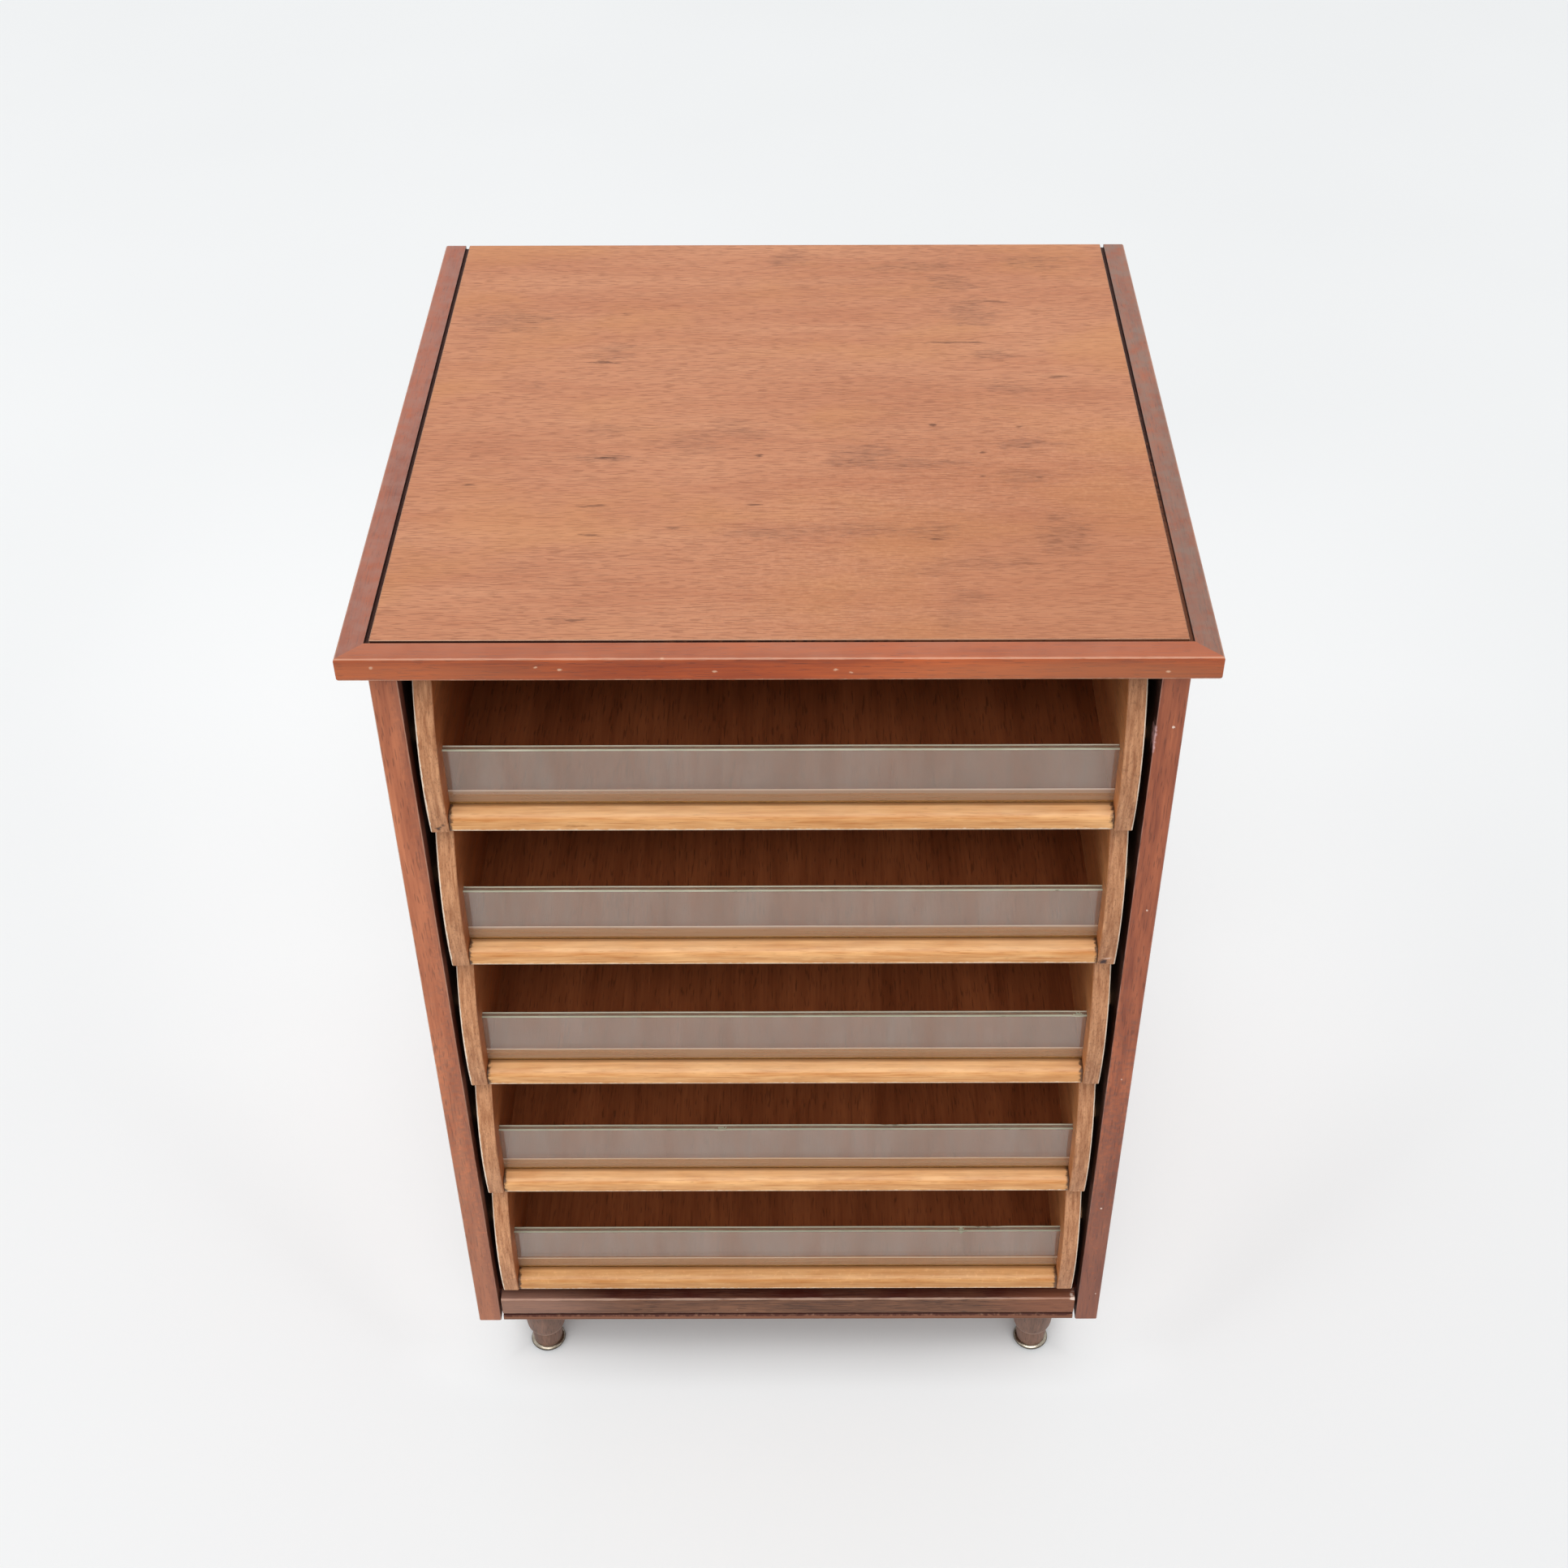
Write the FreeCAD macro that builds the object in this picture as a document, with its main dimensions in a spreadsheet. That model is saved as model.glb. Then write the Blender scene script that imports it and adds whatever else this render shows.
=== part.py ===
"""Glass-fronted drawer cabinet: a square case on turned legs with five open tray drawers.

Millimetres. X runs to the right, Y to the back and Z up, from the floor under the middle of the top.
"""
import FreeCAD, Part
import os
from types import SimpleNamespace
import Sketcher

# Driving dimensions
SIZES = {
    # Top
    "top_width": 600,  # over the edging
    "top_depth": 600,  # over the edging
    "overall_height": 900,  # floor to top surface
    "top_thickness": 20,  # panel and edging
    "top_overhang": 17,  # past the case at the front and sides
    "edging_width": 18,  # solid strip, seen from above
    "edging_top_radius": 2,  # upper outer arris
    "edging_low_radius": 4,  # lower outer arris
    "seam_width": 3,  # dark groove between panel and edging
    "seam_depth": 3,  # depth of that groove
    "field_radius": 0.6,  # arris of the panel along the groove
    # Case
    "panel_thickness": 20,  # side panels and their lippings
    "side_lip_depth": 12,  # lipping on a side panel's front edge
    "side_lip_radius": 1.5,  # front arrises of the side lippings
    "base_thickness": 7,  # plate that carries the legs
    "bottom_thickness": 24,  # board under the drawers
    "bottom_lip_depth": 12,  # lipping on the bottom board's front edge
    "bottom_lip_radius": 2.5,  # front arrises of that lipping
    "base_radius": 1.5,  # front arrises of the base plate
    "shadow_gap": 1.5,  # between the bottom lipping and the base plate
    "corner_gap": 2.5,  # between the side panels and the bottom's front pieces
    "back_thickness": 6,  # back panel
    "back_rebate": 10,  # how far the back is let into each side
    "stretcher_thickness": 14,  # rails under the top
    "stretcher_width": 60,  # front to back
    "stretcher_setback": 14,  # front rail behind the case front
    # Drawers
    "drawer_count": 5,  # drawers in the stack
    "drawer_lift": 15,  # lowest drawer above the bottom board
    "drawer_gap": 9.5,  # between one drawer and the next
    "drawer_head_gap": 8,  # highest drawer below the rails under the top
    "drawer_side_gap": 6.5,  # between drawer and side panel
    "drawer_back_gap": 10,  # between drawer and back panel
    "side_thickness": 14,  # drawer side
    "nose_radius": 208,  # bowed front end of a drawer side
    "nose_height": 43,  # foremost point of the nose above the drawer's lower edge
    "nose_reach": 4.5,  # foremost point of the nose in front of the rail
    "side_arris": 1.5,  # rounded arrises of a drawer side
    "rail_end_gap": 0.4,  # open joint between the rail and each drawer side
    "rail_depth": 14,  # front rail, from its face to the glass
    "rail_height": 15,  # front rail
    "rail_top_radius": 6,  # upper front arris of the rail
    "rail_low_radius": 2.5,  # lower front arris of the rail
    "glass_thickness": 6,  # pane
    "glass_height": 55,  # pane, from the drawer's floor up
    "glass_groove": 6,  # depth of the groove in each drawer side
    "glass_arris": 0.7,  # ground arrises of the pane's top edge
    "ply_rise": 6,  # drawer's lower edge to the underside of its floor
    "ply_thickness": 5,  # drawer's floor
    "ply_groove": 5,  # depth of the groove for the floor
    "drawer_back_thickness": 12,  # drawer's back board
    "drawer_back_inset": 12,  # back board in front of the drawer sides' ends
    "drawer_back_drop": 10,  # back board below the drawer sides' top edges
    "back_housing": 5,  # depth of the housing for the back board
    "drawer_back_arris": 1,  # rounded top edge of the back board
    "fit_clearance": 0.2,  # glued boards in their grooves
    "glass_clearance": 0.3,  # pane in its grooves
    # Runners
    "runner_height": 14,  # runner strip
    "runner_rise": 58,  # drawer's lower edge to the underside of its runner
    "runner_setback": 30,  # runner's front end behind the case front
    "runner_back_gap": 10,  # runner's rear end to the back panel
    "runner_engagement": 6,  # runner's reach into the drawer side
    "slide_clearance": 0.3,  # runner in its groove
    "runner_arris": 1,  # rounded edges of a runner's face
    # Fasteners
    "screw_length": 25,  # countersunk wood screw
    "screw_diameter": 3.5,  # shank
    "screw_head": 7,  # head's diameter
    "screw_head_height": 2,  # countersunk part
    "screw_point": 4,  # pointed end
    "screw_clearance": 0.1,  # all round a fastener in its hole
    "screw_inset": 60,  # outermost screws from the ends of what they hold
    "back_screw_count": 4,  # screws up each side of the back panel
    "cross_screw_count": 3,  # screws across a top rail or the base plate
    "dowel_diameter": 8,  # dowel between a side panel and a board
    "dowel_length": 30,  # whole dowel
    "dowel_bite": 10,  # part of it in the side panel
    "dowel_inset": 75,  # outermost dowels from the bottom board's front and back
    "dowel_count": 4,  # dowels in each end of the bottom board
    "rail_dowel_spacing": 30,  # two dowels in each end of a top rail
    "bolt_diameter": 8,  # hanger bolt in a leg
    "bolt_rise": 24,  # bolt above the leg's top
    "bolt_drop": 32,  # bolt below the leg's top
    # Legs
    "leg_height": 124,  # floor to the underside of the case
    "leg_side_inset": 48,  # leg's centre from the case side
    "leg_end_inset": 64,  # leg's centre from the case front or back
    "leg_foot_radius": 13.3,  # leg where it stands on the glide
    "leg_foot_curve": 60,  # slight swell of the foot
    "leg_crease_radius": 14,  # crease between foot and vase
    "leg_crease_height": 27,  # crease above the floor
    "leg_belly_radius": 18.2,  # vase where its rounded bottom ends
    "leg_belly_height": 36,  # that place above the floor
    "leg_belly_curve": 16,  # rounded bottom of the vase
    "leg_shoulder_radius": 21.5,  # vase under the collar
    "leg_vase_curve": 600,  # long curve of the vase
    "leg_collar_radius": 20,  # collar against the base plate
    "leg_collar_height": 12,  # collar
    "glide_height": 8.5,  # metal glide under a leg
    "glide_radius": 16.5,  # glide's rim
    "glide_rim_height": 6,  # rim above the floor
    "glide_tread_radius": 9,  # flat of the glide on the floor
    "glide_bowl_curve": 10,  # glide's underside between the flat and the rim
    "glide_seat_radius": 13.6,  # flat that the foot stands on
    "glide_flange_curve": 4,  # glide's rounded upper side between the rim and that flat
    "nail_radius": 2,  # glide's nail
    "nail_length": 20,  # glide's nail above the glide
}

SIDES = (("left", -1), ("right", 1))
PAIR_COUNT = 2
FULL_TURN_DEGREES = 360
PLACE_TOLERANCE = 1e-4
UPRIGHT = FreeCAD.Vector(0, 0, 1)

doc = FreeCAD.newDocument("drawer_cabinet")
nodes = []


class Size:
    """A number together with the expression over the sheets that gives it."""

    def __init__(self, text, value):
        self.text = text
        self.value = value

    def joined(self, sign, other, value, swap=False):
        """Size that an operation with another size or a plain number gives."""
        pair = (str(other), self.text) if swap else (self.text, str(other))
        return Size(f"({pair[0]} {sign} {pair[1]})", value)

    def __str__(self):
        return self.text

    def __float__(self):
        return float(self.value)

    def __add__(self, other):
        return self.joined("+", other, self.value + float(other))

    def __sub__(self, other):
        return self.joined("-", other, self.value - float(other))

    def __mul__(self, other):
        return self.joined("*", other, self.value * float(other))

    def __truediv__(self, other):
        return self.joined("/", other, self.value / float(other))

    def __rmul__(self, other):
        return self.joined("*", other, float(other) * self.value, swap=True)

    def __neg__(self):
        return self * -1


ZERO = Size("0", 0.0)


class Table:
    """Spreadsheet of named sizes, one to a row."""

    def __init__(self, name):
        self.sheet = doc.addObject("Spreadsheet::Sheet", name)
        self.rows = 0

    def add(self, alias, content, value):
        """Writes one cell under its alias, and gives it as a size."""
        self.rows += 1
        self.sheet.set(f"A{self.rows}", alias)
        self.sheet.set(f"B{self.rows}", content)
        self.sheet.setAlias(f"B{self.rows}", alias)
        return Size(f"{self.sheet.Name}.{alias}", value)


driving_table = Table("Sizes")
derived_table = Table("Fits")
dim = SimpleNamespace(**{
    alias: driving_table.add(alias, str(number), number) for alias, number in SIZES.items()})


def derived(alias, size):
    """Dimension that follows from others, under a short name."""
    return derived_table.add(alias, f"={size}", size.value)


# Places of the case
top_half = derived("top_half", dim.top_width / 2)
top_front = derived("top_front", dim.top_depth / -2)
top_back = derived("top_back", dim.top_depth / 2)
case_half = derived("case_half", top_half - dim.top_overhang)
inner_half = derived("inner_half", case_half - dim.panel_thickness)
case_front = derived("case_front", top_front + dim.top_overhang)
back_face = derived("back_face", top_back - dim.back_thickness)
base_top = derived("base_top", dim.leg_height + dim.base_thickness)
bottom_top = derived("bottom_top", base_top + dim.bottom_thickness)
case_top = derived("case_top", dim.overall_height - dim.top_thickness)
stretcher_low = derived("stretcher_low", case_top - dim.stretcher_thickness)
field_half = derived("field_half", top_half - dim.edging_width)
field_front = derived("field_front", top_front + dim.edging_width)
front_half = derived("front_half", inner_half - dim.corner_gap)

# Places of the drawers, each from its own lower edge
drawer_half = derived("drawer_half", inner_half - dim.drawer_side_gap)
tray_half = derived("tray_half", drawer_half - dim.side_thickness)
drawer_end = derived("drawer_end", back_face - dim.drawer_back_gap)
stack_low = derived("stack_low", bottom_top + dim.drawer_lift)
stack_high = derived("stack_high", stretcher_low - dim.drawer_head_gap)
drawer_pitch = derived("drawer_pitch", (stack_high - stack_low + dim.drawer_gap) / dim.drawer_count)
side_height = derived("side_height", drawer_pitch - dim.drawer_gap)
rail_back = derived("rail_back", case_front + dim.rail_depth)
ply_front = derived("ply_front", rail_back - dim.ply_groove)
tray_floor = derived("tray_floor", dim.ply_rise + dim.ply_thickness)
drawer_back_rear = derived("drawer_back_rear", drawer_end - dim.drawer_back_inset)
drawer_back_face = derived("drawer_back_face", drawer_back_rear - dim.drawer_back_thickness)

# Places of the runners and fasteners
runner_tip = derived("runner_tip", case_front + dim.runner_setback)
runner_end = derived("runner_end", back_face - dim.runner_back_gap)
runner_radius = derived("runner_radius", dim.runner_height / 2)
runner_thickness = derived("runner_thickness", dim.drawer_side_gap + dim.runner_engagement)
runner_axis = derived("runner_axis", dim.runner_rise + runner_radius)
runner_screw_front = derived("runner_screw_front", runner_tip + dim.screw_inset)
runner_screw_step = derived("runner_screw_step", runner_end - dim.screw_inset - runner_screw_front)
back_screw_x = derived("back_screw_x", inner_half + dim.back_rebate / 2)
back_screw_low = derived("back_screw_low", base_top + dim.screw_inset)
back_screw_run = derived("back_screw_run", case_top - dim.screw_inset - back_screw_low)
back_screw_step = derived("back_screw_step", back_screw_run / (dim.back_screw_count - 1))
top_screw_x = derived("top_screw_x", inner_half - dim.screw_inset)
top_screw_pitch = derived("top_screw_pitch", 2 * top_screw_x / (dim.cross_screw_count - 1))
top_screw_front = derived("top_screw_front", case_front + dim.stretcher_setback + dim.stretcher_width / 2)
top_screw_step = derived("top_screw_step", back_face - dim.stretcher_width / 2 - top_screw_front)
bottom_front = derived("bottom_front", case_front + dim.bottom_lip_depth)
dowel_radius = derived("dowel_radius", dim.dowel_diameter / 2)
dowel_start = derived("dowel_start", dim.dowel_bite - dim.dowel_length)
dowel_front = derived("dowel_front", bottom_front + dim.dowel_inset)
dowel_run = derived("dowel_run", back_face - dim.dowel_inset - dowel_front)
dowel_step = derived("dowel_step", dowel_run / (dim.dowel_count - 1))
bolt_hole_radius = derived("bolt_hole_radius", dim.bolt_diameter / 2 + dim.screw_clearance)
leg_x = derived("leg_x", case_half - dim.leg_side_inset)
leg_front = derived("leg_front", case_front + dim.leg_end_inset)
leg_step = derived("leg_step", top_back - dim.leg_end_inset - leg_front)
base_screw_x = derived("base_screw_x", leg_x - dim.screw_inset)
base_screw_pitch = derived("base_screw_pitch", 2 * base_screw_x / (dim.cross_screw_count - 1))

doc.recompute()


def origin_feature(body, role):
    """Plane or axis of a body's own origin."""
    return next(feature for feature in body.Origin.OriginFeatures if feature.Role == role)


def new_body(label):
    """Body of its own, named after its node."""
    body = doc.addObject("PartDesign::Body", label)
    body.Label = label
    return body


def new_sketch(body, plane, offset=ZERO):
    """Sketch parallel to one of the body's planes, moved along that plane's normal."""
    sketch = body.newObject("Sketcher::SketchObject", f"{body.Name}_sketch")
    sketch.AttachmentSupport = (origin_feature(body, plane), [""])
    sketch.MapMode = "FlatFace"
    sketch.setExpression("AttachmentOffset.Base.z", offset.text)
    return sketch


def bind(sketch, constraint, size):
    """Adds a constraint whose value follows a size."""
    index = sketch.addConstraint(constraint)
    sketch.setExpression(f"Constraints[{index}]", size.text)


def pin(sketch, geometry, vertex, across, up):
    """Holds one vertex at its two distances from the sketch's origin."""
    for kind, size in (("DistanceX", across), ("DistanceY", up)):
        bind(sketch, Sketcher.Constraint(kind, -1, 1, geometry, vertex, float(size)), size)


def point(across, up):
    return FreeCAD.Vector(float(across), float(up), 0)


def join(sketch, pieces):
    """Makes a run of lines and arcs one closed outline."""
    for piece, following in zip(pieces, pieces[1:] + pieces[:1]):
        sketch.addConstraint(Sketcher.Constraint("Coincident", *piece[1], *following[0]))


def add_line(sketch, start, end):
    """Line between two points; gives its start and end for joining."""
    line = sketch.addGeometry(Part.LineSegment(point(*start), point(*end)), False)
    return (line, 1), (line, 2)


def add_arc(sketch, start, end, radius, turn):
    """Arc of a given radius between two points, to the left of the chord for a turn of 1, else -1."""
    first, last = point(*start), point(*end)
    chord = last - first
    rise = (float(radius) ** 2 - (chord.Length / 2) ** 2) ** 0.5
    normal = FreeCAD.Vector(-chord.y, chord.x, 0).normalize()
    crest = (first + last) / 2 + normal * (turn * (float(radius) - rise))
    arc = sketch.addGeometry(Part.Arc(first, crest, last), False)
    bind(sketch, Sketcher.Constraint("Radius", arc, float(radius)), radius)
    ends = ((arc, 1), (arc, 2))
    forward = (sketch.getPoint(arc, 1) - first).Length < (sketch.getPoint(arc, 2) - first).Length
    return ends if forward else ends[::-1]


def outline(sketch, corners, bulges=None):
    """Closed outline through corners, each held by its two sizes.

    Its stretches are straight, but for the ones in bulges, which are outward arcs: the number of the corner
    that one starts from, and its radius.
    """
    radii = bulges or {}
    pieces = []
    for number, (start, end) in enumerate(zip(corners, corners[1:] + corners[:1])):
        if number in radii:
            pieces.append(add_arc(sketch, start, end, radii[number], -1))
        else:
            pieces.append(add_line(sketch, start, end))
    join(sketch, pieces)
    for piece, corner in zip(pieces, corners):
        pin(sketch, *piece[0], *corner)


def rectangle(sketch, left, right, low, high):
    outline(sketch, [(left, low), (right, low), (right, high), (left, high)])


def pad(body, sketch, length):
    """Thickens a sketch along its normal."""
    feature = body.newObject("PartDesign::Pad", f"{body.Name}_pad")
    feature.Profile = sketch
    feature.setExpression("Length", length.text)
    sketch.Visibility = False
    doc.recompute()
    return feature


def volume(body):
    return body.Tip.Shape.Volume


def must_cut(body, before):
    """Stops where a cut has missed the solid."""
    doc.recompute()
    if not volume(body) < before:
        raise RuntimeError(f"a cut in {body.Label} removes nothing")


def pocket(body, sketch, depth, forward=False):
    """Cuts a sketch into the body, against the sketch's normal or forward along it."""
    before = volume(body)
    feature = body.newObject("PartDesign::Pocket", f"{body.Name}_pocket")
    feature.Profile = sketch
    feature.Reversed = forward
    feature.setExpression("Length", depth.text)
    sketch.Visibility = False
    must_cut(body, before)
    return feature


def turn(body, kind, sketch, axis):
    """Turns a sketch once round an axis, as a Revolution or as a Groove."""
    feature = body.newObject(f"PartDesign::{kind}", f"{body.Name}_turn")
    feature.Profile = sketch
    feature.ReferenceAxis = (sketch, [axis])
    feature.Angle = FULL_TURN_DEGREES
    sketch.Visibility = False
    doc.recompute()
    return feature


def pattern(body, features, steps):
    """Repeats features along one or two axes; a step is an axis, a spacing and a count."""
    repeat = body.newObject("PartDesign::LinearPattern", f"{body.Name}_pattern")
    repeat.Originals = features
    for suffix, (axis, spacing, count) in zip(("", "2"), steps):
        setattr(repeat, f"Direction{suffix}", (origin_feature(body, axis), [""]))
        setattr(repeat, f"Mode{suffix}", "Extent")
        repeat.setExpression(f"Length{suffix}", (spacing * (count - 1)).text)
        repeat.setExpression(f"Occurrences{suffix}", str(count))
    body.Tip = repeat
    doc.recompute()
    return repeat


def soften(body, radius, chosen):
    """Rounds the edges of the body's last feature that pass a test."""
    base = body.Tip
    names = [f"Edge{index + 1}" for index, edge in enumerate(base.Shape.Edges) if chosen(edge)]
    feature = body.newObject("PartDesign::Fillet", f"{body.Name}_fillet")
    feature.Base = (base, names)
    feature.setExpression("Radius", radius.text)
    doc.recompute()


def along_edge(axis, **places):
    """Test for straight edges along one axis whose middle lies at the given places."""
    def chosen(edge):
        middle = edge.CenterOfMass
        span = edge.BoundBox
        length = {"x": span.XLength, "y": span.YLength, "z": span.ZLength}
        crosswise = sum(length[name] for name in length if name != axis)
        if length[axis] < crosswise:
            return False
        offsets = [getattr(middle, name) - float(size) for name, size in places.items()]
        return all(abs(offset) < PLACE_TOLERANCE for offset in offsets)
    return chosen


def round_edge(radius):
    """Test for round edges of one radius."""
    def chosen(edge):
        return abs(getattr(edge.Curve, "Radius", 0) - float(radius)) < PLACE_TOLERANCE
    return chosen


def outline_edge(face):
    """Test for edges of the outline of an upright face that looks left or right, at one place in X."""
    def chosen(edge):
        span = edge.BoundBox
        return max(abs(span.XMin - float(face)), abs(span.XMax - float(face))) < PLACE_TOLERANCE
    return chosen


def box_body(label, across, deep, high):
    """Plain board between two sizes in X, Y and Z."""
    body = new_body(label)
    sketch = new_sketch(body, "XY_Plane", high[0])
    rectangle(sketch, *across, *deep)
    pad(body, sketch, high[1] - high[0])
    return body


def plan_body(label, corners, high):
    """Board with a plan outline other than a rectangle, between two heights."""
    body = new_body(label)
    sketch = new_sketch(body, "XY_Plane", high[0])
    outline(sketch, corners)
    pad(body, sketch, high[1] - high[0])
    return body


def keep(body, *places):
    """Puts a finished body on the list of nodes, at an optional place."""
    for name, size in zip("xyz", places):
        body.setExpression(f"Placement.Base.{name}", size.text)
    nodes.append(body)
    return body


def clone(label, master, *places):
    """Copy of a master body as a node of its own."""
    body = new_body(label)
    base = body.newObject("PartDesign::FeatureBase", f"{label}_base")
    base.BaseFeature = master
    body.Tip = base
    return keep(body, *places)


class Screw:
    """Wood screw along X, Y or Z: where its head lies and which way it points."""

    # sketch plane for each direction, and whether the screw runs along the sketch's first axis
    PLANES = {"x": ("XY_Plane", True), "y": ("YZ_Plane", True), "z": ("XZ_Plane", False)}

    def __init__(self, axis, sense, head, beside, plane_offset):
        self.plane, self.lengthwise = self.PLANES[axis]
        self.sense = sense
        self.head = head
        self.beside = beside
        self.offset = plane_offset

    def sketch(self, body, growth):
        """Half section of the screw, or of its hole where it grows by a clearance."""
        sketch = new_sketch(body, self.plane, self.offset)
        head_radius = dim.screw_head / 2 + growth
        shank_radius = dim.screw_diameter / 2 + growth
        steps = [
            (ZERO, ZERO),
            (ZERO, head_radius),
            (dim.screw_head_height, shank_radius),
            (dim.screw_length - dim.screw_point, shank_radius),
            (dim.screw_length + growth, ZERO),
        ]
        corners = []
        for depth, radius in steps:
            place = (self.head + self.sense * depth, self.beside + radius)
            corners.append(place if self.lengthwise else place[::-1])
        axis = sketch.addGeometry(Part.LineSegment(point(*corners[0]), point(*corners[-1])), True)
        outline(sketch, corners)
        pin(sketch, axis, 1, *corners[0])
        pin(sketch, axis, 2, *corners[-1])
        return sketch

    def solid(self, body):
        """The screw itself, in the body of its group."""
        return turn(body, "Revolution", self.sketch(body, ZERO), "Axis0")

    def holes(self, body, steps):
        """Hole for the screw in a board, repeated."""
        before = volume(body)
        hole = turn(body, "Groove", self.sketch(body, dim.screw_clearance), "Axis0")
        must_cut(body, before)
        pattern(body, [hole], steps)


def screw_group(label, screws, steps):
    """Node of equal screws: one or more first ones, repeated."""
    body = new_body(label)
    pattern(body, [screw.solid(body) for screw in screws], steps)
    return keep(body)


def make_top():
    """Veneered panel with its edging on three sides and a groove along the seam."""
    panel = box_body("top_panel", (-field_half, field_half), (field_front, top_back),
                     (case_top, dim.overall_height - dim.seam_depth))
    field = new_sketch(panel, "XY_Plane", dim.overall_height - dim.seam_depth)
    raised_half = field_half - dim.seam_width
    rectangle(field, -raised_half, raised_half, field_front + dim.seam_width, top_back)
    pad(panel, field, dim.seam_depth)
    soften(panel, dim.field_radius, along_edge("x", y=field_front + dim.seam_width, z=dim.overall_height))
    for sense in (-1, 1):
        soften(panel, dim.field_radius, along_edge("y", x=sense * raised_half, z=dim.overall_height))
    high = (case_top, dim.overall_height)
    front = plan_body("top_edging_front", [
        (-top_half, top_front), (top_half, top_front),
        (field_half, field_front), (-field_half, field_front)], high)
    left = plan_body("top_edging_left", [
        (-top_half, top_front), (-field_half, field_front),
        (-field_half, top_back), (-top_half, top_back)], high)
    right = plan_body("top_edging_right", [
        (top_half, top_front), (top_half, top_back),
        (field_half, top_back), (field_half, field_front)], high)
    for radius, level in ((dim.edging_top_radius, dim.overall_height), (dim.edging_low_radius, case_top)):
        soften(front, radius, along_edge("x", y=top_front, z=level))
        soften(left, radius, along_edge("y", x=-top_half, z=level))
        soften(right, radius, along_edge("y", x=top_half, z=level))
    for body in (front, left, right):
        keep(body)
    return keep(panel)


def make_side(name, sense):
    """Side panel with its front lipping; sense is -1 for the left and 1 for the right."""
    outer, inner = sense * case_half, sense * inner_half
    let_in = sense * (inner_half + dim.back_rebate)
    lip_back = case_front + dim.side_lip_depth
    high = (dim.leg_height, case_top)
    panel = plan_body(f"side_panel_{name}", [
        (outer, lip_back), (inner, lip_back), (inner, back_face), (let_in, back_face),
        (let_in, top_back), (outer, top_back)], high)
    lipping = box_body(f"side_lipping_{name}", (inner, outer), (case_front, lip_back), high)
    soften(lipping, dim.side_lip_radius, along_edge("z", y=case_front))
    keep(lipping)
    return keep(panel)


def make_bottom():
    """Bottom board with its front lipping, and the plate under it that carries the legs."""
    board = box_body("bottom_board", (-inner_half, inner_half), (bottom_front, back_face),
                     (base_top, bottom_top))
    across = (-front_half, front_half)
    lipping = box_body("bottom_lipping", across, (case_front, bottom_front),
                       (base_top + dim.shadow_gap, bottom_top))
    soften(lipping, dim.bottom_lip_radius, along_edge("x", y=case_front))
    base = box_body("base_plate", across, (case_front, back_face), (dim.leg_height, base_top))
    soften(base, dim.base_radius, along_edge("x", y=case_front))
    keep(lipping)
    return keep(board), keep(base)


def make_stretcher(name, front, back):
    """Flat rail under the top."""
    return keep(box_body(f"top_stretcher_{name}", (-inner_half, inner_half), (front, back),
                         (stretcher_low, case_top)))


def slot(sketch, tip, end, axis, radius):
    """Outline of a strip with a half-round front end."""
    centre = tip + radius
    low, high = axis - radius, axis + radius
    lower = add_line(sketch, (centre, low), (end, low))
    rear = add_line(sketch, (end, low), (end, high))
    upper = add_line(sketch, (end, high), (centre, high))
    front = sketch.addGeometry(Part.Arc(point(centre, high), point(tip, axis), point(centre, low)), False)
    join(sketch, [lower, rear, upper, ((front, 1), (front, 2))])
    pin(sketch, front, 1, centre, high)
    pin(sketch, front, 2, centre, low)
    bind(sketch, Sketcher.Constraint("DistanceX", -1, 1, front, 3, float(centre)), centre)
    pin(sketch, *lower[1], end, low)
    pin(sketch, *upper[0], end, high)


def make_runners(name, sense, screw, steps):
    """Strips on one side panel, one for each drawer, with their screw holes."""
    body = new_body(f"runners_{name}")
    face = inner_half - runner_thickness if sense > 0 else -inner_half
    sketch = new_sketch(body, "YZ_Plane", face)
    slot(sketch, runner_tip, runner_end, stack_low + runner_axis, runner_radius)
    strip = pad(body, sketch, runner_thickness)
    pattern(body, [strip], [("Z_Axis", drawer_pitch, dim.drawer_count)])
    soften(body, dim.runner_arris, outline_edge(sense * (inner_half - runner_thickness)))
    screw.holes(body, steps)
    return keep(body)


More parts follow.
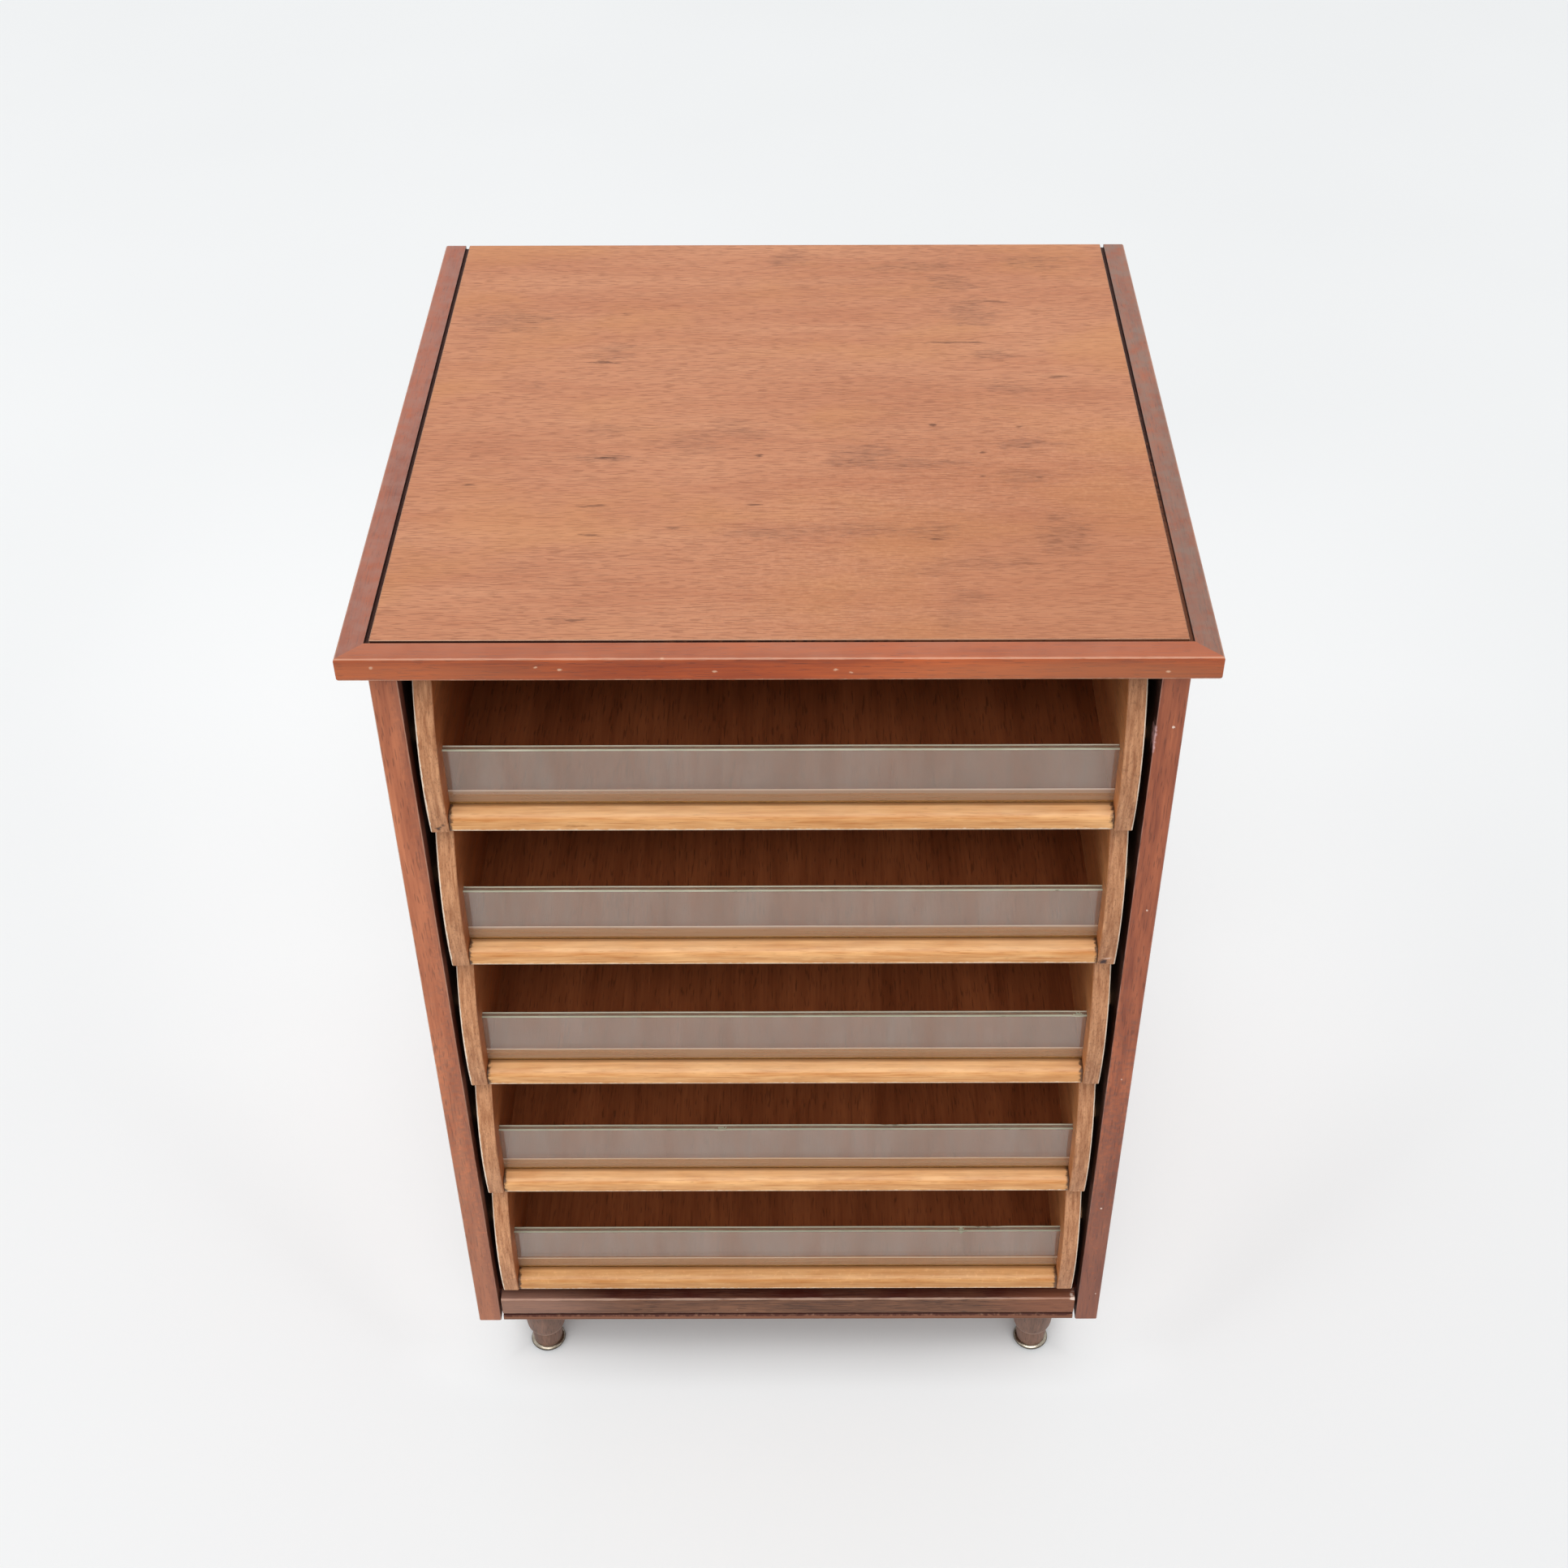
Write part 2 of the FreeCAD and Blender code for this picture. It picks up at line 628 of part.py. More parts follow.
def make_drawer_side(name, sense):
    """Drawer side with its bowed nose and its grooves for runner, floor, pane and back board."""
    body = new_body(f"drawer_side_{name}_master")
    outer, inner = sense * drawer_half, sense * tray_half
    sketch = new_sketch(body, "YZ_Plane", tray_half if sense > 0 else -drawer_half)
    nose_tip = case_front - dim.nose_reach
    centre_y = nose_tip + dim.nose_radius
    sag_low = (float(dim.nose_radius) ** 2 - float(dim.nose_height) ** 2) ** 0.5
    sag_high = (float(dim.nose_radius) ** 2 - (float(side_height) - float(dim.nose_height)) ** 2) ** 0.5
    front_low = (float(centre_y) - sag_low, 0)
    front_high = (float(centre_y) - sag_high, side_height)
    lower = add_line(sketch, front_low, (drawer_end, 0))
    rear = add_line(sketch, (drawer_end, 0), (drawer_end, side_height))
    upper = add_line(sketch, (drawer_end, side_height), front_high)
    nose = sketch.addGeometry(
        Part.Arc(point(*front_high), point(nose_tip, dim.nose_height), point(*front_low)), False)
    join(sketch, [lower, rear, upper, ((nose, 1), (nose, 2))])
    pin(sketch, nose, 3, centre_y, dim.nose_height)
    bind(sketch, Sketcher.Constraint("Radius", nose, float(dim.nose_radius)), dim.nose_radius)
    pin(sketch, *lower[1], drawer_end, ZERO)
    pin(sketch, *upper[0], drawer_end, side_height)
    for line in (lower, upper):
        sketch.addConstraint(Sketcher.Constraint("Horizontal", line[0][0]))
    pad(body, sketch, dim.side_thickness)
    soften(body, dim.side_arris, round_edge(dim.nose_radius))
    soften(body, dim.side_arris, along_edge("y", z=side_height))

    open_end = drawer_end + dim.side_arris
    open_top = side_height + dim.side_arris
    runner = new_sketch(body, "YZ_Plane", outer)
    slot(runner, runner_tip - dim.slide_clearance, open_end, runner_axis,
         runner_radius + dim.slide_clearance)
    pocket(body, runner, dim.runner_engagement + dim.slide_clearance, forward=sense < 0)
    grooves = [
        (ply_front, open_end, dim.ply_rise, tray_floor + dim.fit_clearance, dim.ply_groove),
        (rail_back, rail_back + dim.glass_thickness + 2 * dim.glass_clearance,
         tray_floor, tray_floor + dim.glass_height + dim.glass_clearance, dim.glass_groove),
        (drawer_back_face - dim.fit_clearance, drawer_back_rear + dim.fit_clearance,
         tray_floor, open_top, dim.back_housing),
    ]
    for front, back, low, high, depth in grooves:
        groove = new_sketch(body, "YZ_Plane", inner)
        rectangle(groove, front, back, low, high)
        pocket(body, groove, depth, forward=sense > 0)
    return body


def make_front_rail():
    """Low rail between the drawer sides, with a rounded nose and a groove for the floor."""
    rail_half = tray_half - dim.rail_end_gap
    body = box_body("drawer_front_rail_master", (-rail_half, rail_half), (case_front, rail_back),
                    (ZERO, dim.rail_height))
    soften(body, dim.rail_top_radius, along_edge("x", y=case_front, z=dim.rail_height))
    soften(body, dim.rail_low_radius, along_edge("x", y=case_front, z=ZERO))
    groove = new_sketch(body, "YZ_Plane", -tray_half)
    rectangle(groove, ply_front, rail_back, dim.ply_rise, tray_floor + dim.fit_clearance)
    pocket(body, groove, 2 * tray_half, forward=True)
    return body


def make_drawer_boards():
    """Pane, floor and back board of a drawer."""
    pane_front = rail_back + dim.glass_clearance
    pane_half = tray_half + dim.glass_groove - dim.glass_clearance
    glass = box_body("drawer_glass_master", (-pane_half, pane_half),
                     (pane_front, pane_front + dim.glass_thickness),
                     (tray_floor, tray_floor + dim.glass_height))
    soften(glass, dim.glass_arris, along_edge("x", z=tray_floor + dim.glass_height))
    floor_half = tray_half + dim.ply_groove - dim.fit_clearance
    floor = box_body("drawer_bottom_master", (-floor_half, floor_half),
                     (ply_front + dim.fit_clearance, drawer_end), (dim.ply_rise, tray_floor))
    back_half = tray_half + dim.back_housing - dim.fit_clearance
    back = box_body("drawer_back_master", (-back_half, back_half),
                    (drawer_back_face, drawer_back_rear), (tray_floor, side_height - dim.drawer_back_drop))
    soften(back, dim.drawer_back_arris, along_edge("x", z=side_height - dim.drawer_back_drop))
    return {"glass": glass, "bottom": floor, "back": back}


def make_drawers():
    """One master of each drawer piece, copied for every drawer; drawer 1 is the highest."""
    masters = {"side_left": make_drawer_side("left", -1), "side_right": make_drawer_side("right", 1),
               "front_rail": make_front_rail()}
    masters.update(make_drawer_boards())
    count = int(dim.drawer_count.value)
    for number in range(1, count + 1):
        level = stack_low + (count - number) * drawer_pitch
        for piece, master in masters.items():
            clone(f"drawer_{number}_{piece}", master, ZERO, ZERO, level)


def disc(body, radius, level, centre=(ZERO, ZERO)):
    """Sketch of a circle at one height, about a centre in plan."""
    sketch = new_sketch(body, "XY_Plane", level)
    circle = sketch.addGeometry(Part.Circle(point(*centre), UPRIGHT, float(radius)), False)
    pin(sketch, circle, 3, *centre)
    bind(sketch, Sketcher.Constraint("Radius", circle, float(radius)), radius)
    return sketch


def make_leg():
    """Turned leg: foot, crease, long vase and collar, bored for its bolt and the glide's nail."""
    body = new_body("leg_master")
    sketch = new_sketch(body, "XZ_Plane")
    shoulder = dim.leg_height - dim.leg_collar_height
    outline(sketch, [
        (ZERO, dim.glide_height),
        (dim.leg_foot_radius, dim.glide_height),
        (dim.leg_crease_radius, dim.leg_crease_height),
        (dim.leg_belly_radius, dim.leg_belly_height),
        (dim.leg_shoulder_radius, shoulder),
        (dim.leg_collar_radius, shoulder),
        (dim.leg_collar_radius, dim.leg_height),
        (ZERO, dim.leg_height),
    ], {1: dim.leg_foot_curve, 2: dim.leg_belly_curve, 3: dim.leg_vase_curve})
    turn(body, "Revolution", sketch, "V_Axis")
    bolt = disc(body, bolt_hole_radius, dim.leg_height - dim.bolt_drop)
    pocket(body, bolt, dim.bolt_drop, forward=True)
    nail = disc(body, dim.nail_radius + dim.screw_clearance, dim.glide_height)
    pocket(body, nail, dim.nail_length + dim.screw_clearance, forward=True)
    return body


def make_glide():
    """Metal glide: a shallow bowl whose rounded flange stands out round the foot, on a nail."""
    body = new_body("glide_master")
    sketch = new_sketch(body, "XZ_Plane")
    nail_top = dim.glide_height + dim.nail_length
    outline(sketch, [
        (ZERO, ZERO),
        (dim.glide_tread_radius, ZERO),
        (dim.glide_radius, dim.glide_rim_height),
        (dim.glide_seat_radius, dim.glide_height),
        (dim.nail_radius, dim.glide_height),
        (dim.nail_radius, nail_top),
        (ZERO, nail_top),
    ], {1: dim.glide_bowl_curve, 2: dim.glide_flange_curve})
    turn(body, "Revolution", sketch, "V_Axis")
    return body


def make_legs():
    """Four legs on their glides."""
    leg = make_leg()
    glide = make_glide()
    for depth_name, place in (("front", leg_front), ("back", leg_front + leg_step)):
        for name, sense in SIDES:
            clone(f"leg_{depth_name}_{name}", leg, sense * leg_x, place, ZERO)
            clone(f"glide_{depth_name}_{name}", glide, sense * leg_x, place, ZERO)


def make_leg_bolts(board, base):
    """Hanger bolts through the base plate into the bottom board, with their holes."""
    centre = (-leg_x, leg_front)
    steps = [("X_Axis", 2 * leg_x, PAIR_COUNT), ("Y_Axis", leg_step, PAIR_COUNT)]
    bolts = new_body("leg_bolts")
    circle = disc(bolts, dim.bolt_diameter / 2, dim.leg_height - dim.bolt_drop, centre)
    shank = pad(bolts, circle, dim.bolt_drop + dim.bolt_rise)
    pattern(bolts, [shank], steps)
    keep(bolts)
    for body in (base, board):
        circle = disc(body, bolt_hole_radius, dim.leg_height, centre)
        hole = pocket(body, circle, dim.bolt_rise + dim.screw_clearance, forward=True)
        pattern(body, [hole], steps)


class Dowels:
    """Row of dowels between the side panels and the ends of a board."""

    def __init__(self, first, height, spacing, count):
        self.centre = (first, height)
        self.row = [("Y_Axis", spacing, count)]

    def sketch(self, body, place, growth=ZERO):
        """Circle across the dowels' line, at one place in X."""
        sketch = new_sketch(body, "YZ_Plane", place)
        radius = dowel_radius + growth
        circle = sketch.addGeometry(Part.Circle(point(*self.centre), UPRIGHT, float(radius)), False)
        pin(sketch, circle, 3, *self.centre)
        bind(sketch, Sketcher.Constraint("Radius", circle, float(radius)), radius)
        return sketch

    def holes(self, body, sense, depth):
        """Blind holes from one side's inner face, into its panel for a depth above 0, else into the board."""
        face = sense * inner_half
        into_panel = float(depth) > 0
        length = depth + dim.screw_clearance if into_panel else dim.screw_clearance - depth
        hole = pocket(body, self.sketch(body, face, dim.screw_clearance), length,
                      forward=(sense > 0) == into_panel)
        pattern(body, [hole], self.row)

    def bore(self, panels, board):
        """Holes in both side panels and both ends of the board."""
        for name, sense in SIDES:
            self.holes(panels[name], sense, dim.dowel_bite)
            self.holes(board, sense, dowel_start)

    def solids(self, body):
        """The dowels themselves, in the body of their group."""
        for _, sense in SIDES:
            start = inner_half + dowel_start if sense > 0 else -(inner_half + dim.dowel_bite)
            peg = pad(body, self.sketch(body, start), dim.dowel_length)
            pattern(body, [peg], self.row)


def make_dowels(panels, board, rails):
    """Dowels that join the bottom board and the rails under the top to the side panels."""
    level = case_top - dim.stretcher_thickness / 2
    offset = (dim.stretcher_width - dim.rail_dowel_spacing) / 2
    board_level = bottom_top - dim.bottom_thickness / 2
    joints = [(board, Dowels(dowel_front, board_level, dowel_step, dim.dowel_count))]
    for rail, face in rails:
        joints.append((rail, Dowels(face + offset, level, dim.rail_dowel_spacing, PAIR_COUNT)))
    body = new_body("case_dowels")
    for piece, dowels in joints:
        dowels.bore(panels, piece)
        dowels.solids(body)
    keep(body)


def make_stretchers(top):
    """Rails under the top, each with its front face, and the screws that hold the top to them."""
    front_face = case_front + dim.stretcher_setback
    back_rail_face = back_face - dim.stretcher_width
    front = make_stretcher("front", front_face, front_face + dim.stretcher_width)
    back = make_stretcher("back", back_rail_face, back_face)
    row = [("X_Axis", top_screw_pitch, dim.cross_screw_count)]
    both_rows = row + [("Y_Axis", top_screw_step, PAIR_COUNT)]
    front_screw = Screw("z", 1, stretcher_low, -top_screw_x, -top_screw_front)
    back_screw = Screw("z", 1, stretcher_low, -top_screw_x, -(top_screw_front + top_screw_step))
    front_screw.holes(front, row)
    back_screw.holes(back, row)
    front_screw.holes(top, both_rows)
    screw_group("top_screws", [front_screw], both_rows)
    return (front, front_face), (back, back_rail_face)


def make_back(panels):
    """Back panel let into the sides, and its screws."""
    half = inner_half + dim.back_rebate - dim.fit_clearance
    back = keep(box_body("back_panel", (-half, half), (back_face, top_back), (dim.leg_height, case_top)))
    column = [("Z_Axis", back_screw_step, dim.back_screw_count)]
    both_columns = column + [("X_Axis", 2 * back_screw_x, PAIR_COUNT)]
    screws = {name: Screw("y", -1, top_back, back_screw_low, sense * back_screw_x) for name, sense in SIDES}
    for name, screw in screws.items():
        screw.holes(panels[name], column)
    screws["left"].holes(back, both_columns)
    screw_group("back_screws", [screws["left"]], both_columns)


def make_runner_strips(panels):
    """Runners on both side panels, and their screws."""
    steps = [("Z_Axis", drawer_pitch, dim.drawer_count), ("Y_Axis", runner_screw_step, PAIR_COUNT)]
    screws = []
    for name, sense in SIDES:
        head = sense * (inner_half - runner_thickness)
        screw = Screw("x", sense, head, runner_screw_front, stack_low + runner_axis)
        make_runners(name, sense, screw, steps)
        screw.holes(panels[name], steps)
        screws.append(screw)
    screw_group("runner_screws", screws, steps)


def make_base_screws(board, base):
    """Screws up through the base plate into the bottom board."""
    steps = [("X_Axis", base_screw_pitch, dim.cross_screw_count), ("Y_Axis", leg_step, PAIR_COUNT)]
    screw = Screw("z", 1, dim.leg_height, -base_screw_x, -leg_front)
    for body in (base, board):
        screw.holes(body, steps)
    screw_group("base_screws", [screw], steps)


def main():
    """Builds every piece, checks it and writes it to a file of its own."""
    top = make_top()
    panels = {name: make_side(name, sense) for name, sense in SIDES}
    board, base = make_bottom()
    rails = make_stretchers(top)
    make_dowels(panels, board, rails)
    make_back(panels)
    make_runner_strips(panels)
    make_base_screws(board, base)
    make_leg_bolts(board, base)
    make_legs()
    make_drawers()
    doc.recompute()
    for item in doc.Objects:
        if {"Invalid", "Error"} & set(item.State):
            raise RuntimeError(f"{item.Label} could not be built")
    for body in nodes:
        if body.Shape.isNull() or not body.Shape.isValid():
            raise RuntimeError(f"{body.Label} has no valid shape")
    os.makedirs("parts", exist_ok=True)
    for body in nodes:
        body.Shape.exportStep(f"parts/{body.Label}.step")
    pitch, height = float(drawer_pitch), float(side_height)
    print(f"{len(nodes)} nodes, drawer pitch {pitch:.2f}, drawer side height {height:.2f}")


main()
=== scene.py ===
"""Dresses the glass-fronted drawer cabinet and stands it in a plain studio.

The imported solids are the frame, and they keep their shapes. This script gives each of them a worked finish,
makes the five panes of old window glass with their waves and chips, and adds floor, light and camera.
Lengths are in metres, +Z is up and the front of the cabinet faces -Y.
"""

import logging
import math
from dataclasses import dataclass
from enum import Enum, IntEnum
from typing import ClassVar

import bpy
import numpy as np
from mathutils import Matrix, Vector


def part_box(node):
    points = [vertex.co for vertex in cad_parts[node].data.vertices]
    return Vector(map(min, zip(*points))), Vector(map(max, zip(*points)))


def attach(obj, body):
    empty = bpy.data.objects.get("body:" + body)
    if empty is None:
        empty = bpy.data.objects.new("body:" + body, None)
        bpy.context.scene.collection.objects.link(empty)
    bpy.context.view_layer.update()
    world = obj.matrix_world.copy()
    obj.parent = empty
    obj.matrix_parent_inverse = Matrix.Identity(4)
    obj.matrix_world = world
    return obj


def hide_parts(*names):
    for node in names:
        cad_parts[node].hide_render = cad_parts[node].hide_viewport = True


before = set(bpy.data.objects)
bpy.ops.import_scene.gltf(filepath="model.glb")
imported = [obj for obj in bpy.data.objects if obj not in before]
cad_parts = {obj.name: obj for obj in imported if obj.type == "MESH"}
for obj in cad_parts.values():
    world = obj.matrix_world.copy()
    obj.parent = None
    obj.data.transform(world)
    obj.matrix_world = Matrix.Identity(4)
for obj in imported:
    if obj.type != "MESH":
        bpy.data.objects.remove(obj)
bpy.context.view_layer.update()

LOG = logging.getLogger("cabinet")
TURN = 2.0 * math.pi
MM = 0.001
PERCENT = 0.01
EVEN = (1.0, 1.0, 1.0)
MIDDLE = (0.5, 0.5, 0.5)
NOWHERE = (0.0, 0.0, 0.0)
RIGHTWARD = (1.0, 0.0, 0.0)
LEFTWARD = (-1.0, 0.0, 0.0)
BACKWARD = (0.0, 1.0, 0.0)
UPWARD = (0.0, 0.0, 1.0)
DOWNWARD = (0.0, 0.0, -1.0)
WHITE = (1.0, 1.0, 1.0, 1.0)

Socket = bpy.types.NodeSocket
Node = bpy.types.Node
Outputs = bpy.types.bpy_prop_collection
Pair = tuple[float, float]
Triple = tuple[float, float, float]
Span = tuple[float, ...]
Value = Socket | float | Span
Feeds = dict[str | int, Value]
Given = dict[str, Socket]


class Grain(Enum):
    """Direction of the grain, as the turn that brings it onto the X axis."""

    ALONG_X = (0.0, 0.0, 0.0)
    ALONG_Y = (0.0, 0.0, -math.pi / 2)
    ALONG_Z = (0.0, math.pi / 2, 0.0)


class Arris(Enum):
    """The long edge of a pane that a chip has broken out of."""

    FRONT = 0
    BACK = 1


class Facet(IntEnum):
    """Number of the finish that a face of a pane takes; those of the bands along its foot start at FOOT."""

    CLEAR = 0
    EDGE = 1
    # The far arris of a pane's top edge, painted paler: painted highlight.
    FAR_EDGE_HIGHLIGHT = 2
    FOOT = 3


def paint(code: str) -> tuple[float, float, float, float]:
    """Turns a written colour into the linear values that a shader takes.

    Args:
        code: six hexadecimal digits, red, green and blue as they look on a screen.

    Returns:
        Linear red, green and blue, and full opacity.
    """
    parts = np.array([int(code[at:at + 2], 16) for at in (0, 2, 4)]) / 255.0
    linear = np.where(parts <= 0.04045, parts / 12.92, ((parts + 0.055) / 1.055) ** 2.4)
    red, green, blue = (float(part) for part in linear)
    return red, green, blue, 1.0


class Tree:
    """Adds nodes to one shader tree and wires them.

    Two spans are what a noise is stretched from. Cloudy and crisp noise have their own detail and roughness.
    """

    NOISE_SPAN: ClassVar[Pair] = (0.28, 0.72)
    CLOUD_SPAN: ClassVar[Pair] = (0.3, 0.7)
    CLOUDY: ClassVar[Pair] = (3.0, 0.6)
    CRISP: ClassVar[Pair] = (4.0, 0.6)

    def __init__(self, tree: bpy.types.NodeTree) -> None:
        """Keeps the tree that the nodes go into."""
        self.tree = tree

    def feed(self, socket: Socket, value: Value) -> None:
        """Links a socket to another one, or sets its plain value.

        Args:
            socket: the input.
            value: an output to link, or a number or colour.
        """
        if isinstance(value, Socket):
            self.tree.links.new(value, socket)
        else:
            socket.default_value = value

    def add(self, kind: str, feeds: Feeds | None = None, **settings: object) -> Node:
        """Adds one node.

        Args:
            kind: the node's type.
            feeds: values or links by input name or number.
            **settings: properties of the node.

        Returns:
            The new node.
        """
        node = self.tree.nodes.new(kind)
        for name, setting in settings.items():
            setattr(node, name, setting)
        for key, value in (feeds or {}).items():
            self.feed(node.inputs[key], value)
        return node

    def sum(self, operation: str, first: Value, second: Value = 0.0, clamp: bool = False) -> Socket:
        """Works out one number from two, held between 0 and 1 where clamp is set."""
        node = self.add("ShaderNodeMath", {0: first, 1: second}, operation=operation, use_clamp=clamp)
        return node.outputs[0]

    def times(self, first: Value, second: Value) -> Socket:
        """Multiplies two numbers."""
        return self.sum("MULTIPLY", first, second)

    def vector(self, operation: str, first: Value, second: Value = NOWHERE) -> Socket:
        """Works out one vector from two."""
        return self.add("ShaderNodeVectorMath", {0: first, 1: second}, operation=operation).outputs["Vector"]

    def measure(self, operation: str, first: Value, second: Value = NOWHERE) -> Socket:
        """Works out one number from one or two vectors, such as a length or a dot product."""
        return self.add("ShaderNodeVectorMath", {0: first, 1: second}, operation=operation).outputs["Value"]

    def smooth(self, value: Value, start: Value, end: Value) -> Socket:
        """Rises smoothly from 0 at start to 1 at end, or falls where end is the smaller."""
        feeds = {0: value, 1: start, 2: end, 3: 0.0, 4: 1.0}
        return self.add("ShaderNodeMapRange", feeds, interpolation_type="SMOOTHSTEP").outputs[0]

    def spread(self, value: Value, low: float, high: float, to_low: float = 0.0,
               to_high: float = 1.0) -> Socket:
        """Maps the range from low to high straight onto another one, and holds the result there."""
        feeds = {0: value, 1: low, 2: high, 3: to_low, 4: to_high}
        return self.add("ShaderNodeMapRange", feeds, clamp=True).outputs[0]

    def mix(self, share: Value, under: Value, over: Value) -> Socket:
        """Lays a share of one colour over another."""
        return self.add("ShaderNodeMix", {0: share, 6: under, 7: over}, data_type="RGBA").outputs[2]

    def cover(self, shade: Value, mask: Value, strength: float, colour: str) -> Socket:
        """Lays a written colour over a shade where a mask is, up to a strength."""
        return self.mix(self.times(mask, strength), shade, paint(colour))

    def noise(self, place: Value, size: Value, detail: float = 2.0, rough: float = 0.5) -> Outputs:
        """Adds a smooth noise.

        Args:
            place: where it is read.
            size: size of a lump along X, Y and Z.
            detail: number of finer layers.
            rough: strength of each finer layer.

        Returns:
            Its number and its colour.
        """
        scaled = self.vector("DIVIDE", place, size)
        feeds = {"Vector": scaled, "Scale": 1.0, "Detail": detail, "Roughness": rough}
        return self.add("ShaderNodeTexNoise", feeds).outputs

    def lumps(self, place: Value, size: Triple, detail: float = 2.0, rough: float = 0.5) -> Socket:
        """Gives the number of such a noise, stretched to fill 0 to 1."""
        return self.spread(self.noise(place, size, detail, rough)[0], *self.NOISE_SPAN)

    def ragged(self, place: Value, size: Triple, detail: float, rough: float, most: float) -> Socket:
        """Gives a noise that moves the outline of a mark in or out by a part of its reach."""
        return self.spread(self.noise(place, size, detail, rough)[0], *self.CLOUD_SPAN, -most, most)

    def split(self, vector: Value) -> tuple[Socket, Socket, Socket]:
        """Gives the three parts of a vector."""
        parts = self.add("ShaderNodeSeparateXYZ", {0: vector}).outputs
        return parts[0], parts[1], parts[2]

    def join(self, across: Value, along: Value, up: Value) -> Socket:
        """Makes a vector of three numbers."""
        return self.add("ShaderNodeCombineXYZ", {0: across, 1: along, 2: up}).outputs[0]

    def even(self, length: Value) -> Socket:
        """Makes a vector of one number three times."""
        return self.join(length, length, length)

    def place(self) -> Socket:
        """Gives the object's own coordinates, which are the cabinet's."""
        return self.add("ShaderNodeTexCoord").outputs["Object"]

    def normal(self) -> Socket:
        """Gives the direction that the surface faces."""
        return self.add("ShaderNodeNewGeometry").outputs["Normal"]

    def seen(self) -> Socket:
        """Gives 1 for what the camera sees, straight, mirrored or through glass, and 0 for light alone."""
        path = self.add("ShaderNodeLightPath").outputs
        shown = self.sum("MAXIMUM", path["Is Camera Ray"], path["Is Glossy Ray"])
        return self.sum("MAXIMUM", shown, path["Is Transmission Ray"])


class Effect:
    """A shader node group that several finishes share, built once and placed with its own values."""

    TITLE: ClassVar[str]
    TAKES: ClassVar[dict[str, float | Triple]]
    GIVES: ClassVar[tuple[str, ...]] = ("Mask",)

    @classmethod
    def wire(cls, tree: Tree, given: Given) -> Feeds:
        """Builds the inside of the group.

        Args:
            tree: the group's tree.
            given: the group's inputs by name.

        Returns:
            What goes to each of the group's outputs.
        """
        raise NotImplementedError

    @classmethod
    def group(cls) -> bpy.types.NodeTree:
        """Gives the group, which is built on the first call.

        Returns:
            The group's tree.
        """
        made = bpy.data.node_groups.get(cls.TITLE)
        if made is not None:
            return made
        made = bpy.data.node_groups.new(cls.TITLE, "ShaderNodeTree")
        for name, default in cls.TAKES.items():
            kind = "NodeSocketVector" if isinstance(default, tuple) else "NodeSocketFloat"
            made.interface.new_socket(name, in_out="INPUT", socket_type=kind).default_value = default
        for name in cls.GIVES:
            made.interface.new_socket(name, in_out="OUTPUT", socket_type="NodeSocketFloat")
        tree = Tree(made)
        given = tree.add("NodeGroupInput").outputs
        tree.add("NodeGroupOutput", cls.wire(tree, {name: given[name] for name in cls.TAKES}))
        return made

    @classmethod
    def put(cls, tree: Tree, feeds: Feeds) -> Outputs:
        """Places the group in a material and gives its outputs."""
        return tree.add("ShaderNodeGroup", feeds, node_tree=cls.group()).outputs


class TimberGrain(Effect):
    """Cloudy figure, fine fibres, short dark pores and wavy rings, with the grain along X."""

    TITLE = "timber grain"
    TAKES = {"Place": NOWHERE, "Figure Width": 0.05, "Fibre Width": 0.002, "Pore Width": 0.001,
             "Pore Share": 0.4, "Ring Width": 0.02, "Wander": 0.01}
    GIVES = ("Figure", "Fibre", "Pores", "Rings")
    FIGURE_STRETCH = 7.0
    FIBRE_STRETCH = 26.0
    PORE_STRETCH = 12.0
    PORE_EDGE = 0.78
    PORE_GAIN = 0.35
    PORE_BLUR = 0.1
    RING_BEND = 2.6
    ROUGH = 0.55
    WANDER_LENGTH = (0.35, 0.09, 0.09)

    @classmethod
    def wire(cls, tree: Tree, given: Given) -> Feeds:
        """Reads stretched noise at three widths, on a place that wanders across the grain."""
        drift = tree.vector("SUBTRACT", tree.noise(given["Place"], cls.WANDER_LENGTH, detail=1.0)[1], MIDDLE)
        reach = tree.join(0.0, given["Wander"], given["Wander"])
        place = tree.vector("ADD", given["Place"], tree.vector("MULTIPLY", drift, reach))

        def streaks(width: Socket, stretch: float, detail: float) -> Socket:
            """Gives noise that is stretched along the grain."""
            size = tree.join(tree.times(width, stretch), width, width)
            return tree.noise(place, size, detail, cls.ROUGH)[0]

        figure = streaks(given["Figure Width"], cls.FIGURE_STRETCH, detail=2.0)
        fibre = streaks(given["Fibre Width"], cls.FIBRE_STRETCH, detail=3.0)
        pores = streaks(given["Pore Width"], cls.PORE_STRETCH, detail=0.0)
        edge = tree.sum("SUBTRACT", cls.PORE_EDGE, tree.times(given["Pore Share"], cls.PORE_GAIN))
        rings = tree.sum("DIVIDE", tree.split(place)[1], given["Ring Width"])
        turns = tree.sum("ADD", rings, tree.times(figure, cls.RING_BEND))
        return {"Figure": tree.spread(figure, *tree.CLOUD_SPAN),
                "Fibre": tree.spread(fibre, *tree.NOISE_SPAN),
                "Pores": tree.smooth(pores, edge, tree.sum("ADD", edge, cls.PORE_BLUR)),
                "Rings": tree.spread(tree.sum("SINE", tree.times(turns, TURN)), -1.0, 1.0)}


